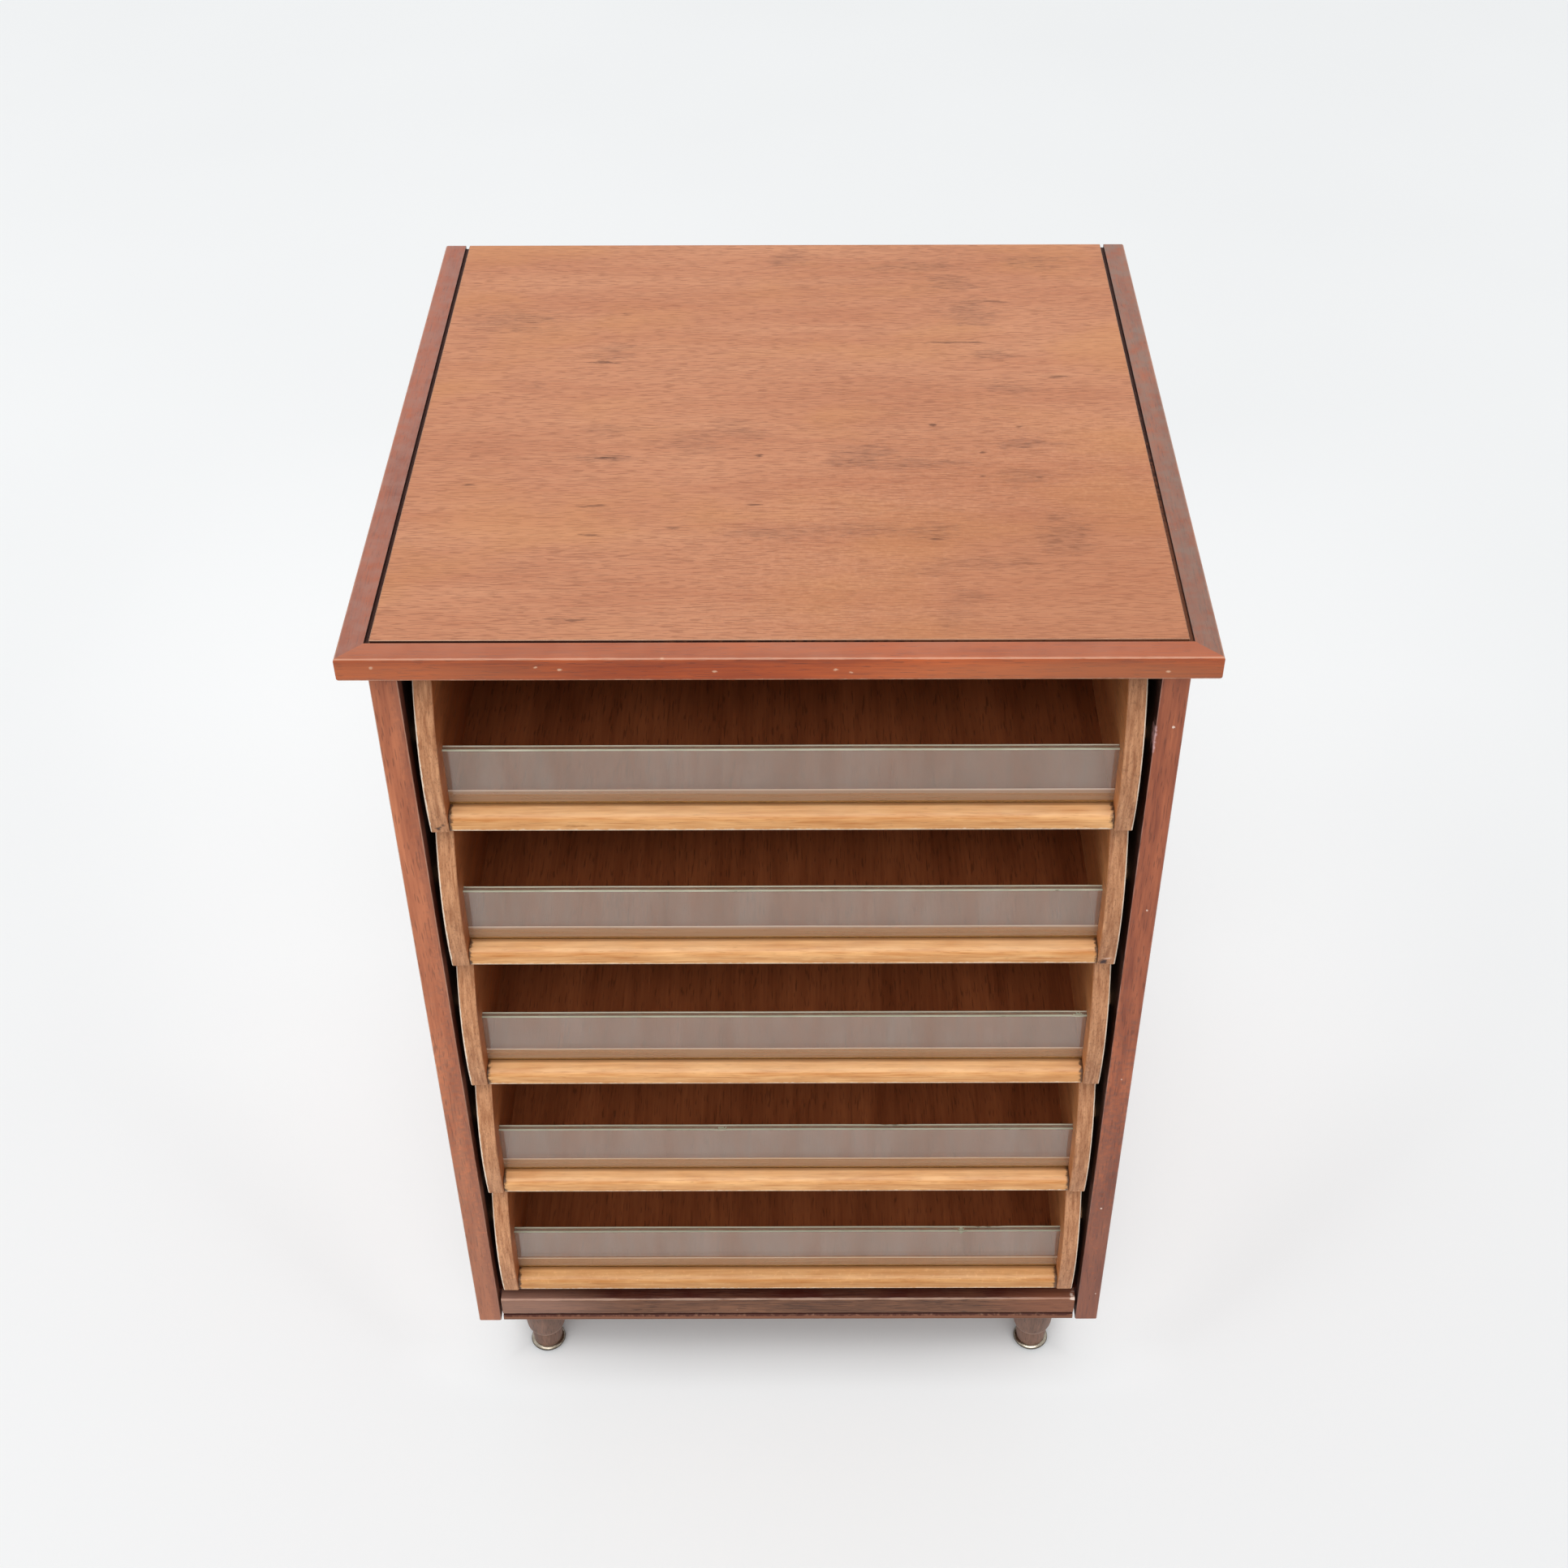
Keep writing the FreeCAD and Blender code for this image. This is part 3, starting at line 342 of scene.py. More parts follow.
class WornAndHighlitArris(Effect):
    """Paler rounded edges, from wear and some a painted highlight, midway between two faces and broken into
    patches.
    """

    TITLE = "worn arris"
    TAKES = {"Place": NOWHERE, "Axes": EVEN, "Facing": NOWHERE, "Reach": 0.5, "Patch": 0.02}
    PEAK = (4.0, 4.0, 4.0)
    BREAK = 1.6
    BLUR = 0.35
    EDGE_SPAN = (0.15, 0.45)
    FACING_SPAN = (-0.3, -0.05)

    @classmethod
    def wire(cls, tree: Tree, given: Given) -> Feeds:
        """Four times a squared part of the normal times its rest is 1 midway round an edge and 0 on a face.

        Edges that look away from the facing direction are left out.
        """
        normal = tree.normal()
        square = tree.vector("MULTIPLY", normal, normal)
        rest = tree.vector("SUBTRACT", EVEN, square)
        edge = tree.vector("MULTIPLY", tree.vector("MULTIPLY", square, rest), cls.PEAK)
        parts = tree.split(tree.vector("MULTIPLY", edge, given["Axes"]))
        most = tree.sum("MAXIMUM", tree.sum("MAXIMUM", parts[0], parts[1]), parts[2])
        cloud = tree.noise(given["Place"], tree.even(given["Patch"]), *tree.CLOUDY)[0]
        broken = tree.sum("ADD", most, tree.times(tree.sum("SUBTRACT", cloud, 0.5), cls.BREAK))
        start = tree.sum("SUBTRACT", 1.0, given["Reach"])
        rubbed_and_highlit = tree.smooth(broken, start, tree.sum("ADD", start, cls.BLUR))
        rubbed_and_highlit = tree.times(rubbed_and_highlit, tree.smooth(most, *cls.EDGE_SPAN))
        turned = tree.measure("DOT_PRODUCT", normal, given["Facing"])
        return {"Mask": tree.times(rubbed_and_highlit, tree.smooth(turned, *cls.FACING_SPAN))}


class Flecks(Effect):
    """Scattered small chips or specks with ragged outlines."""

    TITLE = "flecks"
    TAKES = {"Place": NOWHERE, "Spacing": 0.04, "Size": 0.06, "Share": 0.3}
    LUMP = (1.0 / 420.0,) * 3
    SHIFT = (0.0022,) * 3
    CORE = 0.6

    @classmethod
    def wire(cls, tree: Tree, given: Given) -> Feeds:
        """One point in each cell of a scatter, kept for a share of the cells and drawn to a ragged radius."""
        ragged = tree.vector("SUBTRACT", tree.noise(given["Place"], cls.LUMP, detail=1.0)[1], MIDDLE)
        place = tree.vector("ADD", given["Place"], tree.vector("MULTIPLY", ragged, cls.SHIFT))
        place = tree.vector("DIVIDE", place, tree.even(given["Spacing"]))
        cells = tree.add("ShaderNodeTexVoronoi", {"Vector": place, "Scale": 1.0}).outputs
        kept = tree.sum("LESS_THAN", tree.split(cells["Color"])[0], given["Share"])
        inner = tree.times(given["Size"], cls.CORE)
        return {"Mask": tree.times(kept, tree.smooth(cells["Distance"], given["Size"], inner))}


class UpwardFilmAndPaintedLight(Effect):
    """Faded, dusty colour on faces that look up, also used there for painted light and painted shade."""

    TITLE = "settled film"
    TAKES = {"Place": NOWHERE, "Patch": 0.05}
    UP_SPAN = (0.55, 0.95)
    PATCHES = (0.3, 0.65, 0.45, 1.0)

    @classmethod
    def wire(cls, tree: Tree, given: Given) -> Feeds:
        """The upward part of the normal, made cloudy."""
        up = tree.smooth(tree.split(tree.normal())[2], *cls.UP_SPAN)
        cloud = tree.noise(given["Place"], tree.even(given["Patch"]), *tree.CLOUDY)[0]
        return {"Mask": tree.times(up, tree.spread(cloud, *cls.PATCHES))}


class Mark(Effect):
    """One discoloured spot, scratch or chip, or patch of painted shade or highlight, at a place of its own,
    with a ragged outline.
    """

    TITLE = "mark"
    TAKES = {"Place": NOWHERE, "Centre": NOWHERE, "Reach": EVEN, "Ragged": 0.0}
    FALL = (1.0, 0.25)

    @classmethod
    def wire(cls, tree: Tree, given: Given) -> Feeds:
        """The distance from the centre in units of the reach, roughened, falls from 1 inside to 0 outside."""
        offset = tree.vector("SUBTRACT", given["Place"], given["Centre"])
        away = tree.measure("LENGTH", tree.vector("DIVIDE", offset, given["Reach"]))
        return {"Mask": tree.smooth(tree.sum("ADD", away, given["Ragged"]), *cls.FALL)}

    @classmethod
    def at(cls, tree: Tree, place: Socket, centre: Triple, reach: Triple, ragged: Value) -> Socket:
        """Places one mark and gives its mask."""
        return cls.put(tree, {"Place": place, "Centre": centre, "Reach": reach, "Ragged": ragged})["Mask"]


class SeamShade(Effect):
    """Painted shade in the groove round the field of the top, on three sides."""

    TITLE = "seam shade"
    TAKES = {"Place": NOWHERE, "Half": 0.279}

    @classmethod
    def wire(cls, tree: Tree, given: Given) -> Feeds:
        """1 beyond a square's left, right and front edges, and 0 within them."""
        across, along, _ = tree.split(given["Place"])
        side = tree.sum("GREATER_THAN", tree.sum("ABSOLUTE", across), given["Half"])
        front = tree.sum("GREATER_THAN", tree.times(along, -1.0), given["Half"])
        return {"Mask": tree.sum("MAXIMUM", side, front)}


class Plies(Effect):
    """Thin layers of a board, seen on its edges."""

    TITLE = "plies"
    TAKES = {"Place": NOWHERE, "Stack": UPWARD, "Thickness": 0.0014}
    GIVES = ("Layer", "Edge")
    LAYER_SPAN = (0.35, 0.65)
    EDGE_SPAN = (0.8, 0.4)

    @classmethod
    def wire(cls, tree: Tree, given: Given) -> Feeds:
        """Counts layers through the stack; the edges are the faces that look across it."""
        depth = tree.measure("DOT_PRODUCT", given["Place"], given["Stack"])
        layer = tree.sum("PINGPONG", tree.sum("DIVIDE", depth, given["Thickness"]), 1.0)
        facing = tree.sum("ABSOLUTE", tree.measure("DOT_PRODUCT", tree.normal(), given["Stack"]))
        return {"Layer": tree.smooth(layer, *cls.LAYER_SPAN), "Edge": tree.smooth(facing, *cls.EDGE_SPAN)}


@dataclass(frozen=True)
class RubbingAndHighlight:
    """Wear and painted highlights along rounded edges: colour and strength, and the axes and the way they
    face that have it.
    """

    colour: str
    strength: float
    axes: Triple = EVEN
    facing: Triple = NOWHERE
    reach: float = 0.5
    patch: float = 0.02


@dataclass(frozen=True)
class FilmAndPaintedLight:
    """Faded, dusty colour on faces that look up, also used for painted light and shade: its colour and
    strength, and the size of its clouds.
    """

    colour: str
    strength: float
    patch: float = 0.05


@dataclass(frozen=True)
class Scatter:
    """Scattered chips: their colour and strength, spacing, size and the share of places that have one."""

    colour: str
    strength: float
    spacing: float
    size: float
    share: float


@dataclass(frozen=True)
class Spot:
    """One mark: its place, its reach along each axis, its colour and strength, and if it fades out evenly."""

    at: Triple
    reach: Triple
    colour: str
    strength: float
    soft: bool = False


@dataclass(frozen=True)
class Finish:
    """A surface finish, built as a material on first use."""

    name: str
    MADE: ClassVar[dict[str, bpy.types.Material]] = {}

    def material(self) -> bpy.types.Material:
        """Gives the material, which is built on the first call.

        Returns:
            The finished material.
        """
        if self.name not in self.MADE:
            made = bpy.data.materials.new(f"finish_{self.name}")
            made.use_nodes = True
            made.node_tree.nodes.clear()
            tree = Tree(made.node_tree)
            tree.add("ShaderNodeOutputMaterial", {"Surface": self.surface(tree).outputs[0]})
            self.MADE[self.name] = made
        return self.MADE[self.name]

    def surface(self, tree: Tree) -> Node:
        """Builds the shader.

        Args:
            tree: the material's tree.

        Returns:
            The shader node.
        """
        raise NotImplementedError


@dataclass(frozen=True)
class Timber(Finish):
    """A wood finish with the grain in one direction, its wear, and on some boards painted shade and
    highlights.
    """

    light: str
    dark: str
    pore: str
    grain: Grain
    figure_width: float = 0.05
    fibre_width: float = 0.002
    pore_width: float = 0.001
    pore_share: float = 0.4
    ring_width: float = 0.02
    wander: float = 0.01
    figure: float = 0.5
    fibre: float = 0.35
    rings: float = 0.0
    pores: float = 0.45
    sheen: Pair = (0.42, 0.6)
    gloss: float = 0.4
    relief: float = 0.00025
    fibre_relief: float = 0.5
    rubbing_and_highlight: RubbingAndHighlight | None = None
    film_and_light: FilmAndPaintedLight | None = None
    scatters: tuple[Scatter, ...] = ()
    spots: tuple[Spot, ...] = ()
    spot_lump: Triple = (0.004, 0.004, 0.004)
    spot_ragged: float = 0.45

    def surface(self, tree: Tree) -> Node:
        """Builds the wood from its body colour, its wear and the relief of its grain."""
        place = tree.place()
        turned = tree.add("ShaderNodeMapping", {"Vector": place, "Rotation": self.grain.value}).outputs[0]
        grain = TimberGrain.put(tree, {
            "Place": turned, "Figure Width": self.figure_width, "Fibre Width": self.fibre_width,
            "Pore Width": self.pore_width, "Pore Share": self.pore_share, "Ring Width": self.ring_width,
            "Wander": self.wander})
        shade = self.wear(tree, place, self.detail(tree, place, grain, self.body(tree, grain)))
        height = tree.sum("SUBTRACT", tree.times(grain["Fibre"], self.fibre_relief), grain["Pores"])
        bump = tree.add("ShaderNodeBump", {"Height": height, "Strength": 0.6, "Distance": self.relief})
        rough = tree.spread(grain["Fibre"], 0.0, 1.0, *self.sheen)
        return tree.add("ShaderNodeBsdfPrincipled", {
            "Base Color": shade, "Roughness": rough, "Normal": bump.outputs[0],
            "Specular IOR Level": self.gloss})

    def body(self, tree: Tree, grain: Outputs) -> Socket:
        """Colours the sound wood.

        Args:
            tree: the material's tree.
            grain: outputs of the grain group.

        Returns:
            The colour.
        """
        tone = tree.times(grain["Figure"], self.figure)
        tone = tree.sum("ADD", tone, tree.times(grain["Fibre"], self.fibre))
        tone = tree.sum("ADD", tone, tree.times(grain["Rings"], self.rings), clamp=True)
        shade = tree.mix(tone, paint(self.dark), paint(self.light))
        return tree.cover(shade, grain["Pores"], self.pores, self.pore)

    def detail(self, tree: Tree, place: Socket, grain: Outputs, shade: Socket) -> Socket:
        """Adds what a kind of board has beyond its plain wood, which is nothing here.

        Args:
            tree: the material's tree.
            place: the cabinet's coordinates.
            grain: outputs of the grain group.
            shade: colour of the plain wood.

        Returns:
            The colour.
        """
        return shade

    def wear(self, tree: Tree, place: Socket, shade: Socket) -> Socket:
        """Lays faded colour and painted light on upward faces, wear and painted highlights on edges, chips,
        and marks of dirt, wear and painted shade and highlight over the wood.

        Args:
            tree: the material's tree.
            place: the cabinet's coordinates.
            shade: colour of the sound wood.

        Returns:
            The colour.
        """
        if self.film_and_light is not None:
            film_and_painted_light = UpwardFilmAndPaintedLight.put(tree, {"Place": place, "Patch": self.film_and_light.patch})["Mask"]
            shade = tree.cover(shade, film_and_painted_light, self.film_and_light.strength, self.film_and_light.colour)
        if self.rubbing_and_highlight is not None:
            rubbed_and_highlit = self.rubbing_and_highlight
            worn_and_highlit = WornAndHighlitArris.put(tree, {"Place": place, "Axes": rubbed_and_highlit.axes, "Facing": rubbed_and_highlit.facing,
                                        "Reach": rubbed_and_highlit.reach, "Patch": rubbed_and_highlit.patch})["Mask"]
            shade = tree.cover(shade, worn_and_highlit, rubbed_and_highlit.strength, rubbed_and_highlit.colour)
        for scatter in self.scatters:
            chips = Flecks.put(tree, {"Place": place, "Spacing": scatter.spacing, "Size": scatter.size,
                                      "Share": scatter.share})["Mask"]
            shade = tree.cover(shade, chips, scatter.strength, scatter.colour)
        if self.spots:
            ragged = tree.ragged(place, self.spot_lump, *tree.CLOUDY, self.spot_ragged)
        for spot in self.spots:
            mask = Mark.at(tree, place, spot.at, spot.reach, 0.0 if spot.soft else ragged)
            shade = tree.cover(shade, mask, spot.strength, spot.colour)
        return shade


TOP_LEVEL = 0.9
# Colour of the painted shade in the narrow groove round the top's field.
GROOVE_SHADE = "38180E"


@dataclass(frozen=True)
class TopVeneer(Timber):
    """The veneer of the top: cloudy, with strokes and smudges of old use and painted shade in the groove
    round the field.

    A smudge is its place and its reach, both across and along in millimetres, and its strength in percent. A
    stroke has a reach across only.
    """

    warm: str = "D3925F"
    warmed: float = 0.4
    warm_lump: Triple = (0.16, 0.09, 0.09)
    warm_edge: Pair = (0.45, 0.95)
    stroke: str = "5E3B2C"
    stroke_width: float = 0.0022
    stroke_lump: Triple = (0.014, 0.0022, 0.004)
    stroke_ragged: float = 0.7
    smudge: str = "9A6B55"
    smudged: float = 0.5
    smudge_lump: Triple = (0.03, 0.009, 0.01)
    smudge_noise: Pair = (4.0, 0.65)
    smudge_ragged: float = 0.6
    speckled: float = 0.75
    speckle_lump: Triple = (0.012, 0.0016, 0.002)
    speckle_edge: Pair = (0.42, 0.8)
    haze_lump: Triple = (0.2, 0.12, 0.1)
    haze_span: Span = (0.35, 1.0, 0.02, 0.22)
    groove_half: float = 0.2785
    smudges: tuple[Span, ...] = ()
    strokes: tuple[Span, ...] = ()

    def detail(self, tree: Tree, place: Socket, grain: Outputs, shade: Socket) -> Socket:
        """Adds warmer clouds, smudges, strokes and the painted shade of the groove to the plain veneer."""
        clouds = tree.smooth(tree.lumps(place, self.warm_lump, detail=3.0), *self.warm_edge)
        shade = tree.cover(shade, clouds, self.warmed, self.warm)
        ragged = tree.ragged(place, self.smudge_lump, *self.smudge_noise, self.smudge_ragged)
        dirt: Value = 0.0
        for across, along, length, width, strength in self.smudges:
            centre = (across * MM, along * MM, TOP_LEVEL)
            mask = Mark.at(tree, place, centre, (length * MM, width * MM, 1.0), ragged)
            dirt = tree.sum("MAXIMUM", dirt, tree.times(mask, strength * PERCENT))
        speckle = tree.smooth(tree.lumps(place, self.speckle_lump), *self.speckle_edge)
        everywhere = tree.spread(tree.lumps(place, self.haze_lump), *self.haze_span)
        dense = tree.sum("ADD", everywhere, dirt, clamp=True)
        shade = tree.cover(shade, dirt, self.smudged, self.smudge)
        shade = tree.cover(shade, tree.times(speckle, dense), self.speckled, self.stroke)
        thin = tree.ragged(place, self.stroke_lump, *tree.CLOUDY, self.stroke_ragged)
        for across, along, length, strength in self.strokes:
            centre = (across * MM, along * MM, TOP_LEVEL)
            mask = Mark.at(tree, place, centre, (length * MM, self.stroke_width, 1.0), thin)
            shade = tree.cover(shade, mask, strength * PERCENT, self.stroke)
        beyond = SeamShade.put(tree, {"Place": place, "Half": self.groove_half})["Mask"]
        return tree.mix(beyond, shade, paint(GROOVE_SHADE))


@dataclass(frozen=True)
class Edging(Timber):
    """Solid edging of the top, with painted shade where it looks into the groove."""

    groove_half: float = 0.2822

    def detail(self, tree: Tree, place: Socket, grain: Outputs, shade: Socket) -> Socket:
        """Adds painted shade on the wall of the groove to the plain wood."""
        beyond = SeamShade.put(tree, {"Place": place, "Half": self.groove_half})["Mask"]
        return tree.mix(beyond, paint(GROOVE_SHADE), shade)


@dataclass(frozen=True)
class CaseSide(Timber):
    """Sides of the case and their lippings, painted dark where they look at the drawers: painted shade."""

    inward: Triple = RIGHTWARD
    inward_span: Pair = (0.55, 0.9)
    # Colour of the painted shade on the faces that look at the drawers.
    inner_shade: str = "1A0D09"

    def detail(self, tree: Tree, place: Socket, grain: Outputs, shade: Socket) -> Socket:
        """Adds painted shade on the faces that look inward."""
        facing = tree.measure("DOT_PRODUCT", tree.normal(), self.inward)
        return tree.mix(tree.smooth(facing, *self.inward_span), shade, paint(self.inner_shade))


@dataclass(frozen=True, kw_only=True)
class DrawerWood(Timber):
    """Drawer sides: stained wood, with the pale, flecked end grain of the noses left bare."""

    nose_light: str
    nose_dark: str
    nose_span: Pair = (0.3, 0.7)
    streak_lump: Triple = (0.0024, 0.02, 0.022)
    fleck: str = "6E4226"
    flecked: float = 0.4
    fleck_lump: Triple = (0.0011, 0.02, 0.0026)
    fleck_noise: Pair = (2.0, 0.6)
    fleck_edge: Pair = (0.52, 0.9)

    def detail(self, tree: Tree, place: Socket, grain: Outputs, shade: Socket) -> Socket:
        """Adds the end grain where the face looks to the front."""
        front = tree.times(tree.split(tree.normal())[1], -1.0)
        streaks = tree.lumps(place, self.streak_lump, *tree.CLOUDY)
        nose = tree.mix(streaks, paint(self.nose_dark), paint(self.nose_light))
        flecks = tree.smooth(tree.lumps(place, self.fleck_lump, *self.fleck_noise), *self.fleck_edge)
        nose = tree.cover(nose, flecks, self.flecked, self.fleck)
        return tree.mix(tree.smooth(front, *self.nose_span), shade, nose)


@dataclass(frozen=True)
class LayeredBoard(Timber):
    """Plywood: plain faces, and edges that show the layers."""

    stack: Triple = UPWARD
    thickness: float = 0.0014
    edge_light: str = "B08C7A"
    edge_dark: str = "7C5646"
    layered: float = 0.65

    def detail(self, tree: Tree, place: Socket, grain: Outputs, shade: Socket) -> Socket:
        """Adds the layers on the edges of the board."""
        plies = Plies.put(tree, {"Place": place, "Stack": self.stack, "Thickness": self.thickness})
        fibre = tree.times(grain["Fibre"], 1.0 - self.layered)
        tone = tree.sum("ADD", tree.times(plies["Layer"], self.layered), fibre, clamp=True)
        edge = tree.mix(tone, paint(self.edge_dark), paint(self.edge_light))
        return tree.mix(plies["Edge"], shade, edge)


@dataclass(frozen=True)
class PaneGlass(Finish):
    """Old window glass with a thin warm haze wiped into upright streaks, also used for painted shade,
    reflection and highlight bands.
    """

    tint: str = "F4E0CE"
    # Colour of the haze; in the bands along a pane's foot it is painted shade, reflection and highlight.
    film_and_painted_light: str = "E8C4A8"
    clear: float = 0.84
    smear: Triple = (0.016, 0.05, 0.09)
    dull_span: Span = (0.2, 1.0, 0.015, 0.06)

    def surface(self, tree: Tree) -> Node:
        """Builds clear glass under a thin smeared haze, which in the foot bands is painted light."""
        smears = tree.lumps(tree.place(), self.smear, *tree.CRISP)
        return tree.add("ShaderNodeBsdfPrincipled", {
            "Base Color": tree.mix(smears, paint(self.tint), paint(self.film_and_painted_light)),
            "Roughness": tree.spread(smears, *self.dull_span), "IOR": 1.68,
            "Transmission Weight": self.clear})


@dataclass(frozen=True)
class PaneEdge(Finish):
    """Ground edge of a pane: pale green and dull, in patches, and painted darker on the lower panes: painted
    shade.
    """

    light: str = "E6E6CE"
    dark: str = "B2B396"
    clear: float = 0.35
    # The lower panes' edges are painted towards this darker colour: painted shade where less light comes in.
    low_shade: str = "6C6A50"
    shade_span: Pair = (0.3, 0.79)
    shade_most: float = 0.55
    patch: Triple = (0.03, 0.004, 0.004)
    sheen: Pair = (0.25, 0.5)
    grit: Triple = (0.002, 0.002, 0.002)

    def surface(self, tree: Tree) -> Node:
        """Builds dull glass with a ground, uneven surface."""
        place = tree.place()
        patches = tree.lumps(place, self.patch, *tree.CLOUDY)
        ground = tree.mix(patches, paint(self.dark), paint(self.light))
        shaded = tree.spread(tree.split(place)[2], *self.shade_span, self.shade_most, 0.0)
        grit = {"Height": tree.lumps(place, self.grit), "Strength": 0.4, "Distance": 0.0002}
        return tree.add("ShaderNodeBsdfPrincipled", {
            "Base Color": tree.mix(shaded, ground, paint(self.low_shade)),
            "Roughness": tree.spread(patches, 0.0, 1.0, *self.sheen), "IOR": 1.5,
            "Transmission Weight": self.clear, "Normal": tree.add("ShaderNodeBump", grit).outputs[0]})


@dataclass(frozen=True)
class Metal(Finish):
    """Plated or plain steel with fine scratches, dull patches, and painted shade up to a height near the
    floor.
    """

    light: str
    dark: str
    sheen: Pair
    # Colour of the painted shade near the floor.
    low_shade: str = "3E3831"
    shade_top: float = 0.0
    shade_fade: Pair = (0.001, -0.0005)
    patch: Triple = (0.006, 0.006, 0.003)
    scratch: Triple = (0.004, 0.004, 0.0003)

    def surface(self, tree: Tree) -> Node:
        """Builds bright metal with duller patches, fine turning marks and painted shade near the floor."""
        place = tree.place()
        patches = tree.lumps(place, self.patch, *tree.CRISP)
        scratches = {"Height": tree.lumps(place, self.scratch), "Strength": 0.3, "Distance": 0.00005}
        unshaded, shaded = (self.shade_top + step for step in self.shade_fade)
        low = tree.smooth(tree.split(place)[2], unshaded, shaded)
        plating = tree.mix(patches, paint(self.dark), paint(self.light))
        return tree.add("ShaderNodeBsdfPrincipled", {
            "Base Color": tree.mix(low, plating, paint(self.low_shade)),
            "Roughness": tree.spread(patches, 0.0, 1.0, self.sheen[1], self.sheen[0]), "Metallic": 1.0,
            "Normal": tree.add("ShaderNodeBump", scratches).outputs[0]})


@dataclass(frozen=True)
class FloorPaint(Finish):
    """The studio's pale floor, which looks paler around the cabinet than its light alone makes it.

    A span is where a change starts and ends. Where it has four numbers, the others are what changes there.
    """

    light: str = "E9EBEC"
    cloud: str = "E5E7E8"
    lift_left: float = 0.105
    lift_right: float = 0.08
    fan_lift: float = 0.19
    cloud_lump: Triple = (0.7, 0.7, 0.7)
    cloud_most: float = 0.5
    side_span: Span = (-0.7, 0.7)
    far_span: Span = (1.5, 3.2, 1.0, 0.65)
    fan_start: Span = (-0.2, 0.8, 0.31, 0.56)
    fan_near: Span = (-0.22, 0.15, 0.08, 0.38)
    fan_far: Span = (0.15, 0.8, 0.0, 0.1)
    fan_fall: Span = (1.1, -0.2)
    fan_end: Span = (0.3, 1.5, 1.0, 0.0)
    fan_front: Span = (-0.3, -0.16)
    fan_inner: Span = (0.1, 0.26)
    under_span: Span = (0.207, 0.245)
    under_shape: float = 0.88

    def lift(self, tree: Tree, place: Socket) -> Socket:
        """How much paler the floor is to the eye than its light alone makes it.

        It is nothing under the cabinet and a plain amount around it, less to the right and far behind. Beside
        the cabinet, in a fan that widens towards the back, more of its wide soft shadow is taken away.

        Args:
            tree: the floor's tree.
            place: the floor's coordinates.

        Returns:
            The strength of the floor's own glow.
        """
        across, along, _ = tree.split(place)
        wide, deep, _ = tree.split(tree.vector("ABSOLUTE", place))
        plain = tree.spread(across, *self.side_span, self.lift_left, self.lift_right)
        plain = tree.times(plain, tree.spread(along, *self.far_span))
        beyond = tree.sum("SUBTRACT", wide, tree.spread(along, *self.fan_start))
        reach = tree.sum("ADD", tree.spread(along, *self.fan_near), tree.spread(along, *self.fan_far))
        fan = tree.smooth(tree.sum("DIVIDE", beyond, reach), *self.fan_fall)
        fan = tree.times(fan, tree.spread(along, *self.fan_end))
        fan = tree.times(fan, tree.smooth(along, *self.fan_front))
        fan = tree.times(fan, tree.smooth(wide, *self.fan_inner))
        glow = tree.sum("ADD", plain, tree.times(fan, self.fan_lift))
        away = tree.sum("MAXIMUM", tree.times(wide, self.under_shape), deep)
        return tree.times(tree.times(glow, tree.smooth(away, *self.under_span)), tree.seen())

    def surface(self, tree: Tree) -> Node:
        """Builds dull, faintly cloudy paint with its lift."""
        place = tree.place()
        clouds = tree.spread(tree.lumps(place, self.cloud_lump), 0.0, 1.0, 0.0, self.cloud_most)
        return tree.add("ShaderNodeBsdfPrincipled", {
            "Base Color": tree.mix(clouds, paint(self.light), paint(self.cloud)), "Roughness": 0.9,
            "Specular IOR Level": 0.1, "Emission Color": WHITE, "Emission Strength": self.lift(tree, place)})


FRONT = -0.283
EDGE_FRONT = -0.3
THROUGH = 0.02
ALL = 5.0
DRAWER_EDGES = (0.728, 0.5885, 0.449, 0.3095, 0.17)
TOP_SMUDGES = (
    (-136, 112, 22, 16, 45), (-226, 165, 50, 25, 40), (-197, 56, 12, 10, 35), (-133, -9, 35, 10, 35),
    (-132, -49, 30, 10, 50), (-37, -12, 30, 20, 40), (-65, -26, 40, 30, 30), (-6, -153, 45, 12, 45),
    (2, 272, 25, 22, 45), (146, 230, 30, 16, 45), (157, 177, 30, 30, 45), (116, 258, 50, 14, 40),
    (218, 267, 40, 16, 35), (170, 108, 22, 14, 50), (183, 54, 30, 14, 50), (184, -31, 30, 14, 60),
    (59, -48, 30, 22, 60), (100, -58, 45, 16, 50), (179, -77, 30, 14, 45), (72, -148, 40, 12, 45),
    (112, -150, 28, 14, 45), (205, -158, 26, 38, 60), (150, -190, 50, 12, 45), (130, -230, 20, 12, 45),
    (120, -255, 16, 22, 35), (106, -196, 26, 12, 35), (19, -146, 30, 10, 35),
)
TOP_STROKES = (
    (-146, 95, 15.4, 75), (-132, -50, 11.2, 85), (-139, -115, 12.6, 60), (-137, -153, 9.8, 55),
    (-145, -256, 16.8, 60), (-234, -86, 4.9, 60), (-17, -47, 4.2, 85), (-21, -114, 8.4, 60),
    (-77, -144, 8.4, 45), (143, 126, 33.6, 65), (180, 195, 14, 55), (221, 70, 15.4, 60), (117, -3, 3.5, 80),
    (184, -6, 3.5, 70), (153, -43, 3.5, 80), (151, -76, 3.5, 70), (194, -78, 4.2, 65), (112, -159, 5.6, 75),
    (178, -190, 12.6, 50), (115, -144, 7, 60), (-132, 175, 7, 45),
)

